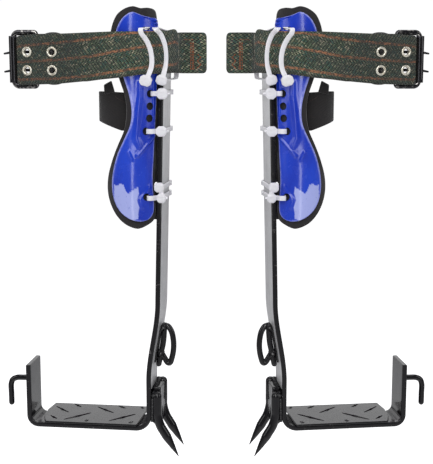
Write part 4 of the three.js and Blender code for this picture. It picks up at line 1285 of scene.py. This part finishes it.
def tie_head(form, centre, size, turn=0.0, tail=None):
    """The locking head: an eight-sided block facing the front, stepped smaller at its front face, with two raised bars
    across it.
    """
    w, d, h = size
    cut = min(w, h) * 0.26
    pts = [(-w / 2, -h / 2 + cut), (-w / 2 + cut, -h / 2), (w / 2 - cut, -h / 2), (w / 2, -h / 2 + cut),
           (w / 2, h / 2 - cut), (w / 2 - cut, h / 2), (-w / 2 + cut, h / 2), (-w / 2, h / 2 - cut)]
    outline = slab_outline(pts, 0.7, 4)
    c, s = math.cos(turn), math.sin(turn)
    x, y, z = centre
    to3d = lambda a, b, q: (x + a * c - b * s, y - q, z + a * s + b * c)
    for low, high, grow in ((0, d - 0.9, 1.0), (d - 1.2, d, 0.80)):
        n_out = outline * grow
        slab_flip(form, n_out, low, high, 0.5, to3d)
    # two raised bars across the front face
    for a, b, ww, hh in ((0, h * 0.17, w * 0.5, 0.7), (0, -h * 0.17, w * 0.5, 0.7)):
        ox, oz = a * c - b * s, a * s + b * c
        form.box((x + ox, y - d - 0.1, z + oz), (ww, 0.7, hh), 0.25, turn=turn, axis="y", k=3)


def slab_flip(form, outline, low, high, r, to3d):
    before = len(form.f)
    slab(form, outline, low, high, r, to3d)


def level_points(hole_x, z):
    out = shank_out(z) + 1.2
    front = SHELL_AXIS[1] - math.sqrt(SHELL_R ** 2 - (hole_x - SHELL_AXIS[0]) ** 2) - 1.3
    return [(hole_x + 0.7, -12, z), (hole_x + 0.7, front + 4, z), (hole_x + 1.5, front, z),
            (hole_x + 5.4, front - 0.6, z), (out - 6, -25.2, z), (out, -20.7, z), (out + 0.6, -8, z),
            (out + 1, 8, z), (out + 1, 19.4, z), (out - 4, 21.8, z), (hole_x + 3, 15, z), (hole_x + 0.7, 2, z)]


def zip_ties():
    hug = lambda x, extra=0.0: belt_front(x) - 0.85 - extra
    form = Form()
    tie_loop(form, [(SLOT_X, -18, 399.2), (SLOT_X - 1.2, -29, 399.2), (62.4, hug(62.4, 0.2), 398.4),
                    (63, hug(63, 0.9), 394.6), (66.4, hug(66.4, 0.5), 389.4), (69.9, hug(69.9, 0.3), 381.6),
                    (71.8, hug(71.8, 0.3), 371), (71.2, hug(71.2, 0.4), 362), (69, hug(69, 0.9), 355.5),
                    (67, hug(67, 1.3), 351.4), (SLOT_X, -30, 349.7), (SLOT_X, -18, 349.6), (SLOT_X, -8, 349.7),
                    (SLOT_X, -4.2, 352.5), (SLOT_X, -4, 362), (SLOT_X, -4, 386), (SLOT_X, -4.2, 396.6),
                    (SLOT_X, -8, 399)], X_AXIS, 230)
    tie_head(form, (66.6, -33.4, 349.8), (11.6, 4.9, 10.2), math.radians(-15))
    emit("tie_belt_inner", form, [NYLON], "spur", ["belt_tie_inner"])
    form = Form()
    tie_loop(form, [(73.5, -12, 399.8), (73.6, -24, 399.4), (76, hug(76, 0.6), 398), (80, hug(80, 0.4), 393.4),
                    (83, hug(83, 0.2), 385), (84.2, hug(84.2, 0.2), 373), (83.8, hug(83.8, 0.2), 364),
                    (82.4, hug(82.4, 0.7), 356.5), (81, hug(81, 1.2), 351.6), (82.2, -15, 350.2),
                    (84.4, 0, 350.2), (85.6, 14, 350.4), (86.2, 25, 351.4), (86.2, 28.4, 355), (86.2, 28.6, 374),
                    (85.6, 28.2, 391), (83.6, 24, 396.6), (78.6, 6, 397.6)], X_AXIS, 240)
    tie_head(form, (80.6, -25, 350.2), (10.8, 4.8, 9.6), math.radians(-14))
    emit("tie_belt_outer", form, [NYLON], "spur", ["belt_tie_outer"])
    for label, hole_x, z, hx, size in (("shin_tie_top", HOLES[0][0], 337.2, 81.2, (10.5, 5.4, 10.6)),
                                       ("shin_tie_middle", HOLES[3][0], 300.9, 80.0, (10.2, 5.4, 10.0)),
                                       ("shin_tie_low", HOLES[4][0], 235.6, 79.6, (8.6, 5.4, 9.4))):
        form = Form()
        tie_loop(form, level_points(hole_x, z), Z_AXIS, 190)
        tie_head(form, (hx, -25.2, z), size, 0.03)
        form.rod([(hx + size[0] / 2 - 1.5, -28, z + 0.2), (hx + size[0] / 2 + 1.2, -27.8, z + 0.2)], 1.15, 4, Z_AXIS, 8)
        emit(label, form, [NYLON], "spur", [label])
    z = 245.8
    out, inn = shank_out(z) + 1.2, shank_x(z) - BAR_T / 2
    form = Form()
    tie_loop(form, [(inn - 1, -22.4, z), (out - 4, -22.9, z), (out, -20.7, z), (out + 0.6, -8, z),
                    (out + 1, 8, z), (out + 1, 19.4, z), (out - 4, 21.8, z), (inn - 1, 20.4, z),
                    (inn - 1.1, 0, z)], Z_AXIS, 130)
    tie_head(form, (inn + 3, -23.4, z), (9.6, 5.4, 9.4), 0.05)
    # the strap's free end, folded over the shank between the two heads
    form.box((inn + 5.2, -26.4, z - 5.2), (4.6, 1.3, 5.5), 0.4, turn=0.2, axis="y")
    emit("shin_tie_chained", form, [NYLON], "spur", ["shin_tie_chained"])


THREAD_DARK = thread_material("dark_thread", (0.060, 0.030, 0.026, 1), (0.030, 0.018, 0.018, 1))

leg_iron()
tread_plate()
spikes()
ring_and_hook()
shin_guard()
elastic()
front_belt()
back_belt()
buckle()
zip_ties()


# ---- studio -----------------------------------------------------------------------------------------
def area_light(name, place, aim, size, power, colour=(1, 1, 1)):
    data = bpy.data.lights.new(name, "AREA")
    data.shape, data.size, data.size_y = "RECTANGLE", size[0], size[1]
    data.energy, data.color = power, colour
    light = bpy.data.objects.new(name, data)
    light.location = place
    light.rotation_euler = (Vector(aim) - Vector(place)).to_track_quat("-Z", "Y").to_euler()
    light.visible_camera = False
    bpy.context.scene.collection.objects.link(light)


def studio():
    world = bpy.data.worlds.new("studio")
    bpy.context.scene.world = world
    world.use_nodes = True
    nt = world.node_tree
    nt.nodes.clear()
    out = nt.nodes.new("ShaderNodeOutputWorld")
    background = nt.nodes.new("ShaderNodeBackground")
    background.inputs[0].default_value = (1, 1, 1, 1)
    background.inputs[1].default_value = 1.02
    soft = nt.nodes.new("ShaderNodeBackground")
    coord = nt.nodes.new("ShaderNodeTexCoord")
    split = nt.nodes.new("ShaderNodeSeparateXYZ")
    nt.links.new(coord.outputs["Generated"], split.inputs[0])
    ramp = nt.nodes.new("ShaderNodeValToRGB")
    ramp.color_ramp.elements[0].position, ramp.color_ramp.elements[0].color = 0.0, (0.42, 0.42, 0.44, 1)
    ramp.color_ramp.elements[1].position, ramp.color_ramp.elements[1].color = 1.0, (0.75, 0.76, 0.80, 1)
    nt.links.new(split.outputs[2], ramp.inputs[0])
    nt.links.new(ramp.outputs[0], soft.inputs[0])
    soft.inputs[1].default_value = 0.30
    path = nt.nodes.new("ShaderNodeLightPath")
    mix = nt.nodes.new("ShaderNodeMixShader")
    nt.links.new(path.outputs["Is Camera Ray"], mix.inputs[0])
    nt.links.new(soft.outputs[0], mix.inputs[1])
    nt.links.new(background.outputs[0], mix.inputs[2])
    nt.links.new(mix.outputs[0], out.inputs[0])

    area_light("key", (-0.25, -1.1, 1.25), (0, 0, 0.22), (0.9, 0.7), 7.5)
    area_light("strip", (0, -0.75, 0.42), (0, 0.05, 0.25), (0.14, 0.75), 1.6)
    area_light("left", (-1.2, -0.5, 0.7), (0, 0, 0.25), (0.5, 1.0), 3.2)
    area_light("right", (1.2, -0.5, 0.7), (0, 0, 0.25), (0.5, 1.0), 3.2)
    area_light("top", (0, 0.15, 1.5), (0, 0, 0.2), (1.4, 0.6), 6)
    area_light("back", (0, 1.2, 0.9), (0, 0, 0.25), (1.2, 0.6), 3)
    area_light("horizon", (0, 1.9, 0.42), (0, 0, 0.1), (3.0, 0.7), 5)

    half = 12.0
    mesh = bpy.data.meshes.new("floor")
    z = -0.45
    mesh.from_pydata([(-half, -half, z), (half, -half, z), (half, half, z), (-half, half, z)], [], [(0, 1, 2, 3)])
    floor = bpy.data.objects.new("floor", mesh)
    bpy.context.scene.collection.objects.link(floor)
    t = Tree("pale_floor", Roughness=0.9)
    t.bsdf.inputs["Base Color"].default_value = (0.80, 0.80, 0.81, 1)
    t.bsdf.inputs["Emission Color"].default_value = (1, 1, 1, 1)
    seen = t.node("ShaderNodeLightPath").outputs["Is Camera Ray"]
    t.set(Emission_Strength=t.range(seen, 0, 1, 0.12, 0.9))
    mesh.materials.append(t.mat)


def camera():
    data = bpy.data.cameras.new("camera")
    data.sensor_width, data.sensor_fit = 36.0, "HORIZONTAL"
    data.lens = 36.0 * 1086 / 433
    data.clip_start, data.clip_end = 0.01, 50
    cam = bpy.data.objects.new("camera", data)
    cam.location = (0, -1.092, 0.3785)
    cam.rotation_euler = (math.radians(90 - 9.5), 0, 0)
    bpy.context.scene.collection.objects.link(cam)
    bpy.context.scene.camera = cam


studio()
camera()
bpy.context.scene.view_settings.view_transform = "Standard"

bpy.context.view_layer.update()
